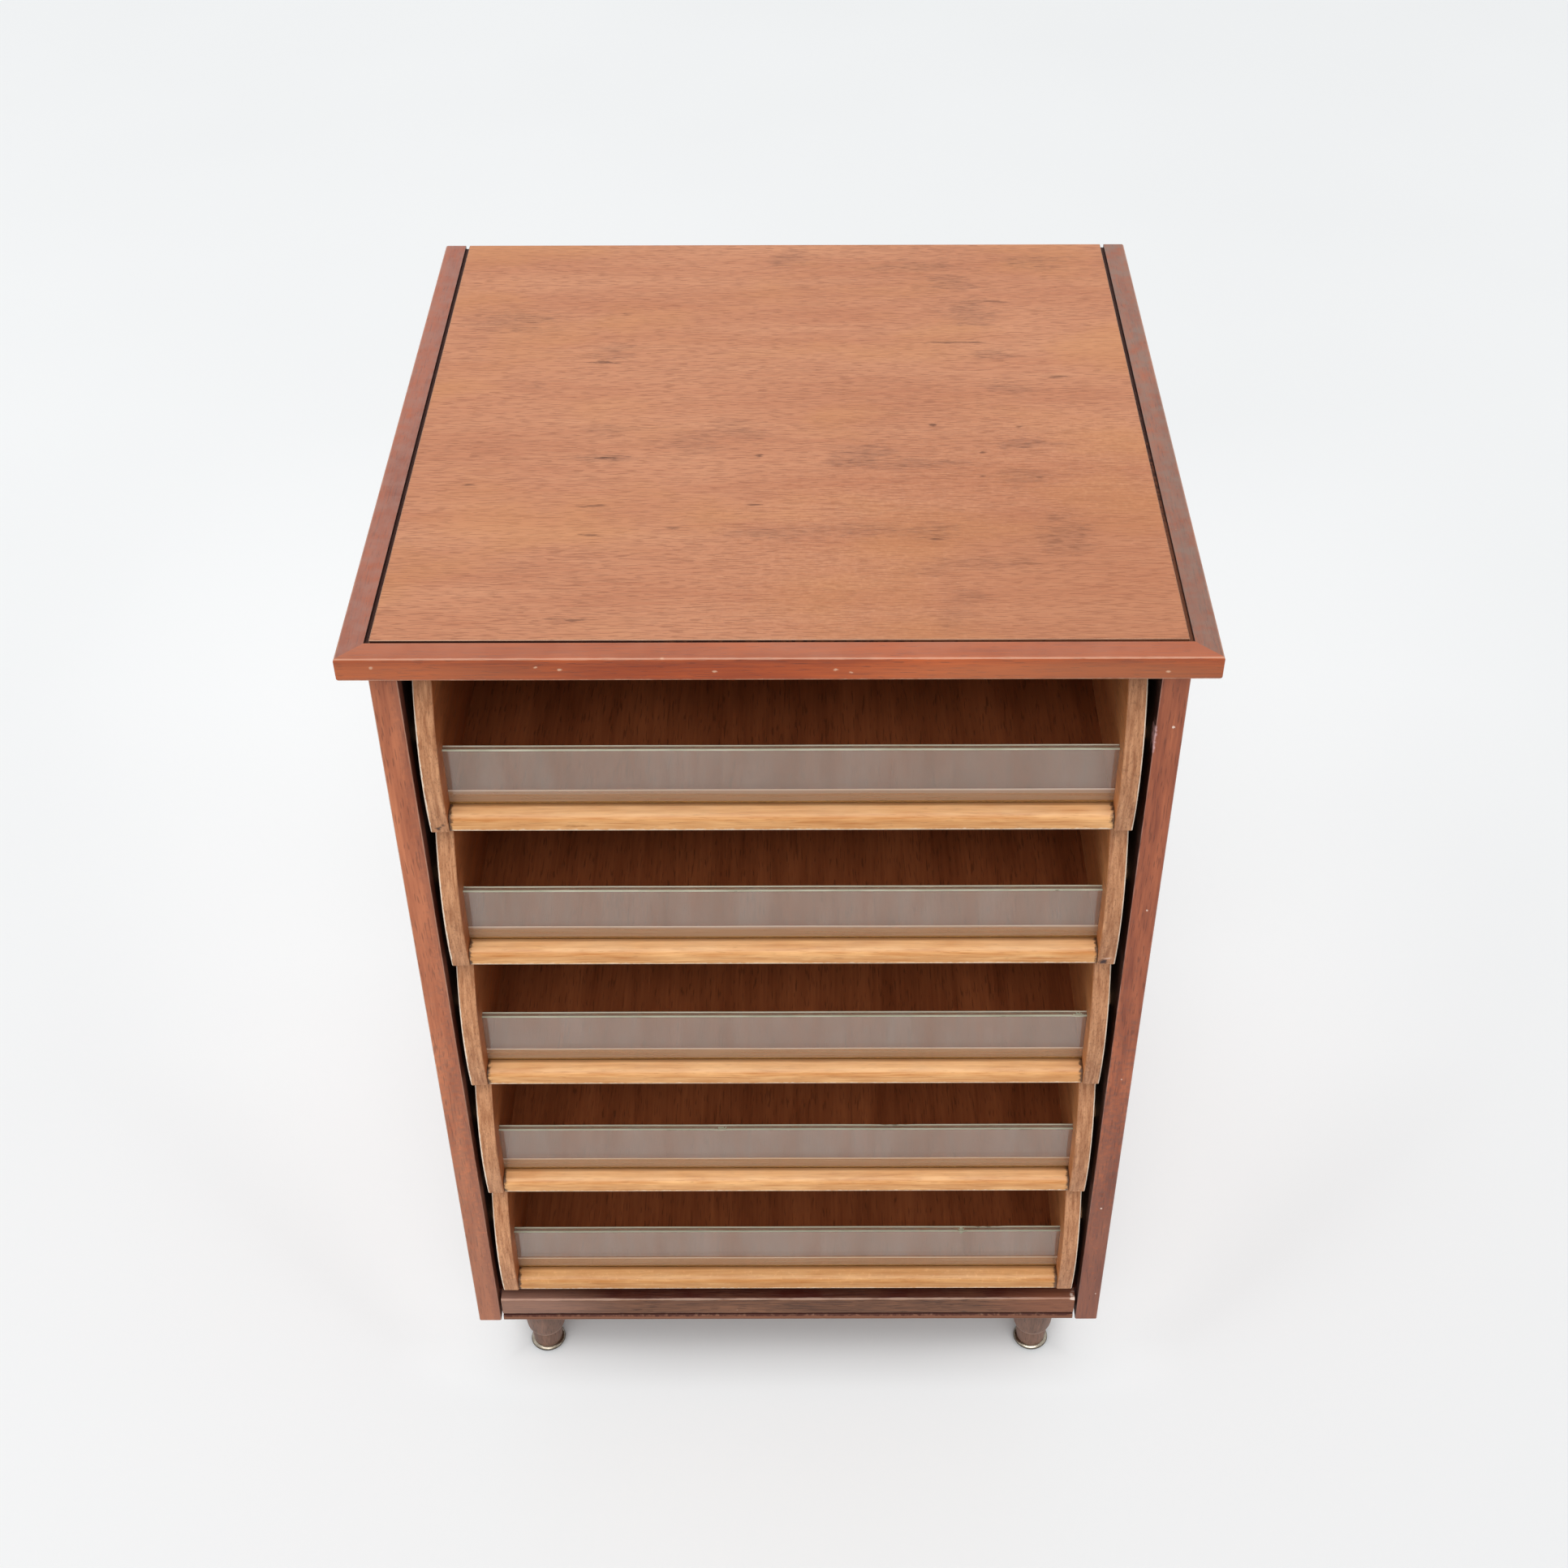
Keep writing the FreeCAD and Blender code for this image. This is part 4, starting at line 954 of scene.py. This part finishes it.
FINE = dict(fibre_width=0.0015, pore_width=0.0009)
TOP_VENEER = TopVeneer(
    "top_veneer", light="DEA07B", dark="BD7857", pore="8A533A", grain=Grain.ALONG_X, figure_width=0.04,
    pore_share=0.62, figure=0.38, fibre=0.5, pores=0.42, sheen=(0.5, 0.66), gloss=0.35, relief=0.0002,
    rubbing_and_highlight=RubbingAndHighlight("E2B394", 0.8, reach=0.8, patch=0.06),
    spots=(Spot((0.22, -0.22, TOP_LEVEL), (0.3, 0.25, ALL), "B06A44", 0.3),), smudges=TOP_SMUDGES,
    strokes=TOP_STROKES, **FINE)

EDGING = dict(
    light="CC622C", dark="762D13", pore="4A1D0D", figure_width=0.022, fibre_width=0.0016, pore_width=0.0009,
    pore_share=0.35, figure=0.6, fibre=0.4, pores=0.4, sheen=(0.34, 0.5),
    rubbing_and_highlight=RubbingAndHighlight("D8A384", 0.5, reach=0.55, patch=0.03),
    scatters=(Scatter("E3C4A8", 0.85, 0.035, 0.05, 0.2),))
EDGE_CHIPS = tuple(
    Spot((across, EDGE_FRONT, up), (0.0021, 0.003, 0.0012), "E2BC9C", 0.65)
    for across, up in ((-0.148, 0.891), (-0.044, 0.889), (0.038, 0.8905), (0.049, 0.888), (0.263, 0.888),
                       (-0.164, 0.893), (-0.079, 0.8998)))
EDGE_TONES = tuple(
    Spot((across, EDGE_FRONT, 0.887), (half, THROUGH, 0.016), colour, strength, soft=True)
    for across, half, colour, strength in (
        (-0.29, 0.21, "B56840", 0.5), (-0.05, 0.15, "A03B08", 0.35), (0.2, 0.2, "AC6A44", 0.5)))
EDGE_ARRIS = Spot((0.0, EDGE_FRONT, 0.8802), (ALL, THROUGH, 0.0024), "DDB292", 0.5)
EDGING_FRONT = Edging(
    "edging_front", grain=Grain.ALONG_X, film_and_light=FilmAndPaintedLight("C27B5E", 0.7, 0.06),
    spots=(*EDGE_TONES, EDGE_ARRIS, *EDGE_CHIPS), **EDGING)
EDGING_LEFT = Edging("edging_left", grain=Grain.ALONG_Y, film_and_light=FilmAndPaintedLight("A67A6D", 0.75, 0.015), **EDGING)
EDGING_RIGHT = Edging("edging_right", grain=Grain.ALONG_Y, film_and_light=FilmAndPaintedLight("8B7A6F", 0.75, 0.015), **EDGING)

SIDE_VENEER = dict(
    light="A9653F", dark="7C4227", pore="552B19", grain=Grain.ALONG_Z, figure_width=0.045, fibre_width=0.0018,
    figure=0.55, fibre=0.4, rings=0.1, pores=0.4, sheen=(0.4, 0.55),
    scatters=(Scatter("CFA287", 0.6, 0.09, 0.02, 0.2),))
# The side panels are painted nearly black where they look at the drawers: painted shade in the narrow gaps.
SIDE_LEFT = CaseSide("side_left", **SIDE_VENEER)
SIDE_RIGHT = CaseSide("side_right", inward=LEFTWARD, **SIDE_VENEER)
LIPPING = dict(
    pore="4F2415", grain=Grain.ALONG_Z, figure_width=0.01, fibre_width=0.0018, figure=0.6, fibre=0.4,
    pores=0.4, sheen=(0.36, 0.5), scatters=(Scatter("F0DCCB", 0.9, 0.06, 0.03, 0.1),))
LIPPING_SPECKS = tuple(
    Spot((across, FRONT, up), (0.0013, THROUGH, 0.0014), "EED6C6", 0.9)
    for across, up in ((0.2755, 0.8256), (0.2752, 0.6463), (0.2744, 0.4542), (0.2729, 0.2858),
                       (0.2787, 0.1623)))
LIPPING_RUBBED = Spot((0.2631, FRONT, 0.814), (0.0018, THROUGH, 0.014), "E7BDBD", 0.8)
LIPPING_FOOT = dict(at=(0.0, 0.0, 0.12), reach=(ALL, ALL, 0.45), strength=0.5)
# The lippings are painted dark where they look at the drawers: painted shade. The left one is also painted
# darker along its inner edge, towards the gap: painted shade.
LIPPING_LEFT = CaseSide(
    "side_lipping_left", light="CF7E56", dark="9D5435", rubbing_and_highlight=RubbingAndHighlight("E4B69C", 0.6), inner_shade="552619",
    spots=(Spot(colour="93654F", **LIPPING_FOOT),
           Spot((-0.263, FRONT, 0.5), (0.008, ALL, ALL), "84503F", 0.35)), **LIPPING)
LIPPING_RIGHT = CaseSide(
    "side_lipping_right", light="B66642", dark="793823", rubbing_and_highlight=RubbingAndHighlight("C99484", 0.5, reach=0.45),
    inward=LEFTWARD, inner_shade="2A100C",
    spots=(Spot(colour="684A41", **LIPPING_FOOT), *LIPPING_SPECKS, LIPPING_RUBBED), **LIPPING)

# The bottom board is painted very dark: painted shade under the lowest drawer.
BOTTOM_BOARD_SHADED = Timber(
    "bottom_board", light="551E10", dark="2C0E07", pore="1C0804", grain=Grain.ALONG_X, rings=0.15,
    sheen=(0.4, 0.55), gloss=0.25)
# A ragged dark line where the bottom lipping meets the base plate: painted shade in the narrow gap between
# them.
GAP_SHADE = dict(reach=(ALL, ALL, 0.0024), colour="3A0F08", strength=0.9)
# The bottom lipping's upward faces are painted nearly black: painted shade under the lowest drawer. Its pale
# upper arris is wear and a painted highlight.
BOTTOM_LIPPING = Timber(
    "bottom_lipping", light="8F6248", dark="2E140C", pore="2E160E", grain=Grain.ALONG_X, figure_width=0.02,
    fibre_width=0.0014, pore_share=0.5, figure=0.4, fibre=0.6, pores=0.5, sheen=(0.5, 0.68), gloss=0.3,
    rubbing_and_highlight=RubbingAndHighlight("B89884", 0.6, facing=UPWARD, reach=0.6, patch=0.025),
    scatters=(Scatter("D8C6B8", 0.8, 0.05, 0.05, 0.2),), film_and_light=FilmAndPaintedLight("3E0F06", 0.95),
    spots=(Spot((-0.262, FRONT, 0.144), (0.13, THROUGH, 0.03), "B88C79", 0.45, soft=True),
           Spot((0.262, FRONT, 0.144), (0.1, THROUGH, 0.03), "A5664A", 0.4, soft=True),
           Spot((0.0, FRONT, 0.1322), **GAP_SHADE),
           Spot((0.2588, FRONT, 0.1537), (0.004, THROUGH, 0.002), "E6D2C2", 0.9)))
PLYWOOD = dict(sheen=(0.55, 0.75), gloss=0.25)
BASE_PLY = LayeredBoard(
    "base_ply", light="9A7460", dark="6E4A3A", pore="4C3024", grain=Grain.ALONG_X, rings=0.15,
    edge_light="92614A", edge_dark="663C26", spots=(Spot((0.0, FRONT, 0.1314), **GAP_SHADE),),
    rubbing_and_highlight=RubbingAndHighlight("C9AE9E", 0.8, facing=DOWNWARD, reach=0.7, patch=0.03), **PLYWOOD)
BACK_PLY = LayeredBoard(
    "back_ply", light="B98A62", dark="8F6242", pore="6B452C", grain=Grain.ALONG_Z, figure_width=0.07,
    ring_width=0.05, rings=0.35, figure=0.4, fibre=0.3, stack=BACKWARD, **PLYWOOD)
BEECH = Timber(
    "beech", light="CDA27A", dark="A87A54", pore="7D5436", grain=Grain.ALONG_Y, figure_width=0.03,
    fibre_width=0.0013, pore_width=0.0008, pore_share=0.5, rings=0.1, sheen=(0.5, 0.65), gloss=0.3)
STAINED = dict(pore="3F1E0E", fibre=0.45, **FINE)
STRETCHER_WOOD = Timber(
    "stretcher_wood", light="8A4A30", dark="5C2C1A", grain=Grain.ALONG_X, figure_width=0.03,
    sheen=(0.45, 0.6), **STAINED)

# Cracks at drawer 1's lower left corner. At drawer 2's lower right corner a dark patch is painted shade in a
# broken corner, beside its pale broken edge.
DRAWER_BREAKS = tuple(
    Spot((across, FRONT, up), (half, THROUGH, tall), colour, strength)
    for across, up, half, tall, colour, strength in (
        (-0.2505, 0.7320, 0.0024, 0.0020, "2A140C", 0.9), (-0.2485, 0.7339, 0.0024, 0.0020, "2A140C", 0.9),
        (-0.2464, 0.7359, 0.0024, 0.0020, "3A1E12", 0.8), (0.2474, 0.5925, 0.0055, 0.0034, "2A0E12", 0.95),
        (0.2490, 0.5965, 0.0050, 0.0016, "E8C2B0", 0.7)))
DRAWER_WOOD = dict(figure_width=0.025, sheen=(0.42, 0.58), **STAINED)
DRAWER_SIDE = dict(grain=Grain.ALONG_Y, spots=DRAWER_BREAKS, **DRAWER_WOOD)
# The near-white arrises of the drawer noses are wear and a painted highlight.
NOSE_RUBBED_AND_HIGHLIT = dict(colour="F6E4CE", strength=0.95, axes=RIGHTWARD, reach=0.75, patch=0.015)
DRAWER_LEFT = DrawerWood(
    "drawer_left", light="C0713F", dark="84431F", nose_light="D89E72", nose_dark="9B613A",
    rubbing_and_highlight=RubbingAndHighlight(facing=LEFTWARD, **NOSE_RUBBED_AND_HIGHLIT), **DRAWER_SIDE)
# The right drawer sides are painted lighter than the left ones: painted light on their inner faces.
DRAWER_RIGHT_LIT = DrawerWood(
    "drawer_right", light="E8A068", dark="B06A38", nose_light="CF976D", nose_dark="945C37",
    rubbing_and_highlight=RubbingAndHighlight(facing=RIGHTWARD, **NOSE_RUBBED_AND_HIGHLIT), **DRAWER_SIDE)
DRAWER_BACK = Timber("drawer_back", light="A8623A", dark="6E361C", grain=Grain.ALONG_X, **DRAWER_WOOD)
DRAWER_FLOOR = Timber(
    "drawer_floor", light="A8623A", dark="6E361C", pore="43200F", grain=Grain.ALONG_Y, figure_width=0.03,
    fibre_width=0.0022, pore_width=0.0011, fibre=0.4, rings=0.1, sheen=(0.36, 0.5))
# A pale line along each rail's lower arris: painted highlight.
RAIL_ARRIS_HIGHLIGHT = tuple(
    Spot((0.0, FRONT, up + 0.0014), (ALL, THROUGH, 0.0016), "F4DFC4", 0.65) for up in DRAWER_EDGES)
# A dark line along each rail's upper back edge: painted shade where the pane stands on it.
RAIL_BACK_SHADE = tuple(
    Spot((0.0, -0.269, up + 0.015), (ALL, 0.004, 0.006), "6E4420", 0.75, soft=True) for up in DRAWER_EDGES)
RAIL_ENDS = tuple(Spot((across, 0.0, 0.0), (0.0034, ALL, ALL), "351809", 0.9) for across in (-0.2425, 0.2425))
# The rails' upward ledges are painted paler: painted light. Their pale lower arrises are wear and a painted
# highlight. The lowest rail is painted darker: painted shade.
RAIL_WOOD = Timber(
    "rail_wood", light="F2BC80", dark="B8702F", pore="A0682F", grain=Grain.ALONG_X, figure_width=0.007,
    fibre_width=0.0014, pore_width=0.0007, pore_share=0.3, ring_width=0.012, wander=0.012, figure=0.45,
    fibre=0.47, rings=0.08, pores=0.3, sheen=(0.4, 0.52), gloss=0.35, film_and_light=FilmAndPaintedLight("E3BE93", 0.45),
    rubbing_and_highlight=RubbingAndHighlight("F6E6CF", 0.9, facing=DOWNWARD, reach=0.6, patch=0.03),
    spots=(Spot((0.0, 0.0, 0.17), (ALL, ALL, 0.08), "986222", 0.36), *RAIL_ARRIS_HIGHLIGHT, *RAIL_BACK_SHADE,
           Spot((-0.1503, FRONT, 0.7336), (0.012, THROUGH, 0.0014), "A8703A", 0.6), *RAIL_ENDS))

# The upper part of each leg is painted darker: painted shade under the base plate. The pale line at the
# crease is a painted highlight.
LEG_WOOD = Timber(
    "leg_wood", light="9A7361", dark="593F31", pore="38261D", grain=Grain.ALONG_Z, figure_width=0.02,
    fibre_width=0.0014, figure=0.45, fibre=0.5,
    spots=(Spot((0.0, 0.0, 0.105), (ALL, ALL, 0.06), "2A1A12", 0.8, soft=True),
           Spot((0.0, 0.0, 0.031), (ALL, ALL, 0.0035), "B8937F", 0.35)))
# The glides are painted dark up to the outer edge of the rim: painted shade, the floor's contact shadow seen
# in the metal.
GLIDE_METAL = Metal("glide_metal", light="BFB5A5", dark="746A5C", sheen=(0.18, 0.35), shade_top=0.0066)
SCREW_STEEL = Metal("screw_steel", light="A9A59C", dark="6F6A62", sheen=(0.3, 0.5))

# Streak size of the painted bands along each pane's foot.
LEDGE_REFLECTION_STREAKS = (0.09, 0.05, 0.0022)
PANE_GLASS = PaneGlass("pane_glass")
PANE_FINISHES = (
    PANE_GLASS,
    PaneEdge("pane_edge"),
    # The far arris of each pane's top edge is painted paler and nearly opaque: painted highlight.
    PaneEdge("pane_far_edge_highlight", light="F6F4E0", dark="DDDDC4", clear=0.05, shade_most=0.4),
    # Bands along each pane's foot: a dark line of painted shade where the glass meets the rail, a pale band
    # that is the painted reflection of the rail's ledge, and a thin painted highlight above it.
    PaneGlass("pane_shade", tint="D19C59", film_and_painted_light="C08A4A", clear=0.66, smear=LEDGE_REFLECTION_STREAKS),
    PaneGlass("pane_foot_reflection", tint="F0CBA8", film_and_painted_light="E6B78E", clear=0.66, smear=LEDGE_REFLECTION_STREAKS),
    PaneGlass("pane_line_highlight", tint="FBE6D2", film_and_painted_light="F2D0B0", clear=0.52, smear=LEDGE_REFLECTION_STREAKS),
)
STUDIO_FLOOR = FloorPaint("studio_floor")


def dress(finishes: dict[str, Finish]) -> None:
    """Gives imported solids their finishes.

    Args:
        finishes: the finish that all faces of a solid take, by its name.
    """
    for node, finish in finishes.items():
        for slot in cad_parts[node].material_slots:
            slot.material = finish.material()
        LOG.info("%s has the finish %s", node, finish.name)


def add_object(name: str, data: bpy.types.ID) -> bpy.types.Object:
    """Adds an object to the scene, at the origin and unturned.

    Args:
        name: name of the object.
        data: its mesh, lamp or lens.

    Returns:
        The new object.
    """
    made = bpy.data.objects.new(name, data)
    bpy.context.scene.collection.objects.link(made)
    return made


def new_piece(name: str, points: np.ndarray, faces: list[tuple[int, ...]], finishes: tuple[Finish, ...],
              chosen: np.ndarray) -> bpy.types.Object:
    """Makes an object of points and faces.

    Args:
        name: name of the piece.
        points: one row of three coordinates for each point.
        faces: point numbers of each face, in order round it.
        finishes: its finishes.
        chosen: number of the finish of each face.

    Returns:
        The new object.
    """
    mesh = bpy.data.meshes.new(name)
    mesh.from_pydata(points.tolist(), [], faces)
    for finish in finishes:
        mesh.materials.append(finish.material())
    mesh.polygons.foreach_set("material_index", chosen.astype(np.int32))
    mesh.polygons.foreach_set("use_smooth", np.ones(len(faces), bool))
    mesh.update()
    return add_object(name, mesh)


@dataclass
class Top:
    """The veneered top with its solid edging."""

    FINISHES: ClassVar[dict[str, Finish]] = {
        "top_panel": TOP_VENEER, "top_edging_front": EDGING_FRONT, "top_edging_left": EDGING_LEFT,
        "top_edging_right": EDGING_RIGHT}

    def dress(self) -> None:
        """Gives the panel and its edging their finishes."""
        dress(self.FINISHES)


@dataclass
class Case:
    """Sides, bottom, back and the parts inside that carry the drawers."""

    FINISHES: ClassVar[dict[str, Finish]] = {
        "side_panel_left": SIDE_LEFT, "side_panel_right": SIDE_RIGHT, "runners_left": BEECH,
        "runners_right": BEECH, "side_lipping_left": LIPPING_LEFT, "side_lipping_right": LIPPING_RIGHT,
        "top_stretcher_front": STRETCHER_WOOD, "top_stretcher_back": STRETCHER_WOOD, "case_dowels": BEECH,
        "bottom_board": BOTTOM_BOARD_SHADED, "bottom_lipping": BOTTOM_LIPPING, "base_plate": BASE_PLY,
        "back_panel": BACK_PLY, "runner_screws": SCREW_STEEL, "back_screws": SCREW_STEEL,
        "top_screws": SCREW_STEEL, "base_screws": SCREW_STEEL, "leg_bolts": SCREW_STEEL}

    def dress(self) -> None:
        """Gives each part of the case its finish."""
        dress(self.FINISHES)


@dataclass
class Leg:
    """One turned leg with its metal glide."""

    corner: str

    def dress(self) -> None:
        """Gives the turning and the glide their finishes."""
        dress({f"leg_{self.corner}": LEG_WOOD, f"glide_{self.corner}": GLIDE_METAL})


@dataclass(frozen=True)
class Chip:
    """A shell-shaped break in the upper edge of a pane."""

    at: float
    half: float
    depth: float
    arris: Arris = Arris.FRONT
    across: float = 0.004
    ripple: float = 0.3
    ripple_length: float = 0.45
    hollow: float = 0.7
    follow: float = 5.0

    def drop(self, points: np.ndarray, low: np.ndarray, high: np.ndarray) -> np.ndarray:
        """How far the chip lowers each point of the pane.

        That is its depth times one minus the squared distance from its middle, with a ripple and less
        towards the far arris, and the glass below follows by the square of its height.

        Args:
            points: the pane's points, with their coordinates along the last axis.
            low: lowest corner of the pane.
            high: highest corner of the pane.

        Returns:
            The drop of each point.
        """
        x, y, z = np.moveaxis(points, -1, 0)
        start = low[1] if self.arris is Arris.FRONT else high[1]
        along = np.clip(1.0 - ((x - self.at) / self.half) ** 2, 0.0, 1.0)
        wave = 1.0 + self.ripple * np.sin(TURN * (x - self.at) / (self.ripple_length * self.half) + self.at)
        across = np.clip(1.0 - np.abs(y - start) / self.across, 0.0, 1.0) ** self.hollow
        below = self.follow * self.depth
        share = np.clip((z - high[2] + below) / below, 0.0, 1.0) ** 2
        return self.depth * along * wave * across * share


@dataclass
class Pane:
    """A pane of old glass that stands where its solid does.

    Its faces are wavy, its upper edge may be chipped, and three bands along the foot of its front are
    painted: a shadow line, the reflection of the rail's ledge and a highlight line above it.
    """

    number: int
    chips: tuple[Chip, ...] = ()
    arris: float = 0.001
    arris_steps: int = 5
    foot: tuple[float, ...] = (0.0, 0.0062, 0.0159, 0.0175)
    rows: int = 22
    columns: int = 420
    wave: float = 0.00006
    wave_length: float = 0.17
    wave_bend: float = 1.4
    bend_height: float = 0.21
    held: float = 0.012
    broken: float = 0.0004

    def profile(self, low: np.ndarray, high: np.ndarray) -> tuple[np.ndarray, np.ndarray]:
        """Outline of the pane's section: up the front, over the rounded top and down the back.

        Args:
            low: lowest corner of the solid.
            high: highest corner of the solid.

        Returns:
            Depth and height of each point of the outline.
        """
        front, back = low[1] + self.wave, high[1] - self.wave
        shoulder = high[2] - self.arris
        foot = low[2] + np.array(self.foot)
        rise = np.concatenate([foot, np.linspace(foot[-1], shoulder, self.rows - len(foot) + 1)[1:]])
        turn = np.linspace(0.0, math.pi / 2, self.arris_steps)[1:]
        depth = np.concatenate([
            np.full(self.rows, front), front + self.arris * (1.0 - np.cos(turn)),
            np.linspace(front + self.arris, back - self.arris, self.arris_steps)[1:],
            back - self.arris * (1.0 - np.sin(turn)), np.full(self.rows - 1, back)])
        height = np.concatenate([
            rise, shoulder + self.arris * np.sin(turn), np.full(self.arris_steps - 1, high[2]),
            shoulder + self.arris * np.cos(turn), rise[::-1][1:]])
        return depth, height

    def surface(self) -> tuple[np.ndarray, np.ndarray]:
        """The section carried along X.

        The faces stand off by a small sine wave along the pane that dies out where the grooves hold its ends.

        Returns:
            Points by station and place in the section, and how far chips have lowered each.
        """
        low, high = (np.array(corner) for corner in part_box(f"drawer_{self.number}_glass"))
        depth, height = self.profile(low, high)
        x, y = np.meshgrid(np.linspace(low[0], high[0], self.columns), depth, indexing="ij")
        z = np.broadcast_to(height, x.shape)
        inside = np.clip((high[0] - self.held - np.abs(x)) / self.held, 0.0, 1.0)
        bend = self.wave_bend * np.sin(TURN * z / self.bend_height + self.number)
        y = y + self.wave * np.sin(TURN * x / self.wave_length + bend) * inside
        points = np.stack([x, y, z], axis=-1)
        lowered = np.zeros_like(x)
        for chip in self.chips:
            drop = chip.drop(points, low, high)
            points[..., 2] -= drop
            lowered = np.maximum(lowered, drop)
        return points, lowered

    def faces(self, lowered: np.ndarray) -> tuple[list[tuple[int, ...]], np.ndarray]:
        """Joins the points of neighbouring sections, and closes the two ends.

        Args:
            lowered: how far chips have lowered each point.

        Returns:
            The faces and the number of the finish of each.
        """
        count = lowered.shape[1]
        station, corner = np.meshgrid(np.arange(self.columns - 1), np.arange(count), indexing="ij")
        following = (corner + 1) % count
        first, second = station * count, (station + 1) * count
        quads = np.stack([first + corner, second + corner, second + following, first + following], axis=-1)
        turns = self.arris_steps - 1
        beyond = corner - (self.rows - 1)
        near = ((beyond >= 0) & (beyond < turns)) | (lowered[:-1, :] > self.broken)
        far = (beyond >= 2 * turns - 1) & (beyond < 3 * turns)
        plain = np.where(corner < len(self.foot) - 1, Facet.FOOT + corner, Facet.CLEAR)
        chosen = np.where(near, Facet.EDGE, np.where(far, Facet.FAR_EDGE_HIGHLIGHT, plain)).ravel()
        last = (self.columns - 1) * count
        ends = [tuple(range(count)), tuple(range(last + count - 1, last - 1, -1))]
        faces = [tuple(quad) for quad in quads.reshape(-1, 4).tolist()] + ends
        return faces, np.append(chosen, (Facet.CLEAR, Facet.CLEAR))

    def build(self) -> bpy.types.Object:
        """Makes the pane and lets it ride in its drawer.

        Returns:
            The pane.
        """
        points, lowered = self.surface()
        faces, chosen = self.faces(lowered)
        piece = new_piece(f"drawer_{self.number}_pane", points.reshape(-1, 3), faces, PANE_FINISHES, chosen)
        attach(piece, f"drawer_{self.number}")
        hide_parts(f"drawer_{self.number}_glass")
        LOG.info("%s stands in drawer %d", piece.name, self.number)
        return piece


@dataclass
class Drawer:
    """One tray drawer with its glass front."""

    number: int
    chips: tuple[Chip, ...] = ()
    FINISHES: ClassVar[dict[str, Finish]] = {
        "side_left": DRAWER_LEFT, "side_right": DRAWER_RIGHT_LIT, "back": DRAWER_BACK, "bottom": DRAWER_FLOOR,
        "front_rail": RAIL_WOOD, "glass": PANE_GLASS}

    def dress(self) -> None:
        """Gives the solids their finishes and puts the pane in."""
        dress({f"drawer_{self.number}_{piece}": finish for piece, finish in self.FINISHES.items()})
        Pane(self.number, self.chips).build()


@dataclass
class Studio:
    """Pale floor, soft light and the camera."""

    floor_half: float = 9.0
    sky: float = 0.28
    backdrop: float = 0.9
    sun: float = 2.65
    sun_spread: float = math.radians(60.0)
    sun_tilt: float = math.radians(32.0)
    sun_side: float = math.radians(-1.5)
    eye: Triple = (0.01895, -1.43145, 1.7689)
    pitch: float = math.radians(49.09)
    roll: float = math.radians(-0.14)
    lens: float = 48.69
    sensor: float = 36.0
    shift: float = -0.01499

    def floor(self) -> bpy.types.Object:
        """Lays the floor, a flat sheet on a grid of two by two points.

        Returns:
            The floor.
        """
        across, along = np.meshgrid((-self.floor_half, self.floor_half), (-self.floor_half, self.floor_half))
        points = np.stack([across.ravel(), along.ravel(), np.zeros(4)], axis=-1)
        sheet = new_piece("studio_floor", points, [(0, 1, 3, 2)], (STUDIO_FLOOR,), np.zeros(1))
        return sheet

    def light(self) -> None:
        """Sets an even sky and one broad lamp from above, in front and a little to the left."""
        world = bpy.data.worlds.new("studio")
        world.use_nodes = True
        world.node_tree.nodes.clear()
        tree = Tree(world.node_tree)
        strength = tree.spread(tree.seen(), 0.0, 1.0, self.sky, self.backdrop)
        sky = tree.add("ShaderNodeBackground", {"Color": WHITE, "Strength": strength})
        tree.add("ShaderNodeOutputWorld", {"Surface": sky.outputs[0]})
        bpy.context.scene.world = world
        lamp = bpy.data.lights.new("softbox", "SUN")
        lamp.energy = self.sun
        lamp.angle = self.sun_spread
        turned = Matrix.Rotation(self.sun_side, 4, "Y") @ Matrix.Rotation(self.sun_tilt, 4, "X")
        add_object("softbox", lamp).matrix_world = turned

    def camera(self) -> None:
        """Stands the camera where the photograph was taken from."""
        lens = bpy.data.cameras.new("camera")
        lens.sensor_width = self.sensor
        lens.lens = self.lens
        lens.shift_x = self.shift
        holder = add_object("camera", lens)
        turned = Matrix.Rotation(self.pitch, 4, "X") @ Matrix.Rotation(self.roll, 4, "Z")
        holder.matrix_world = Matrix.Translation(self.eye) @ turned
        bpy.context.scene.camera = holder


DRAWERS = (
    Drawer(1),
    Drawer(2),
    Drawer(3, (Chip(0.2355, 0.005, 0.0010),)),
    Drawer(4, (Chip(-0.055, 0.006, 0.0008), Chip(0.09, 0.02, 0.0006, Arris.BACK))),
    Drawer(5, (Chip(0.1545, 0.0032, 0.0014), Chip(0.176, 0.02, 0.0006, Arris.BACK))),
)
CORNERS = ("front_left", "front_right", "back_left", "back_right")


def main() -> None:
    """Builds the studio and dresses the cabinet."""
    logging.basicConfig(level=logging.INFO, format="%(name)s: %(message)s")
    bpy.context.scene.view_settings.view_transform = "Standard"
    studio = Studio()
    studio.camera()
    studio.floor()
    studio.light()
    Top().dress()
    Case().dress()
    for corner in CORNERS:
        Leg(corner).dress()
    for drawer in DRAWERS:
        drawer.dress()


if __name__ == "__main__":
    main()
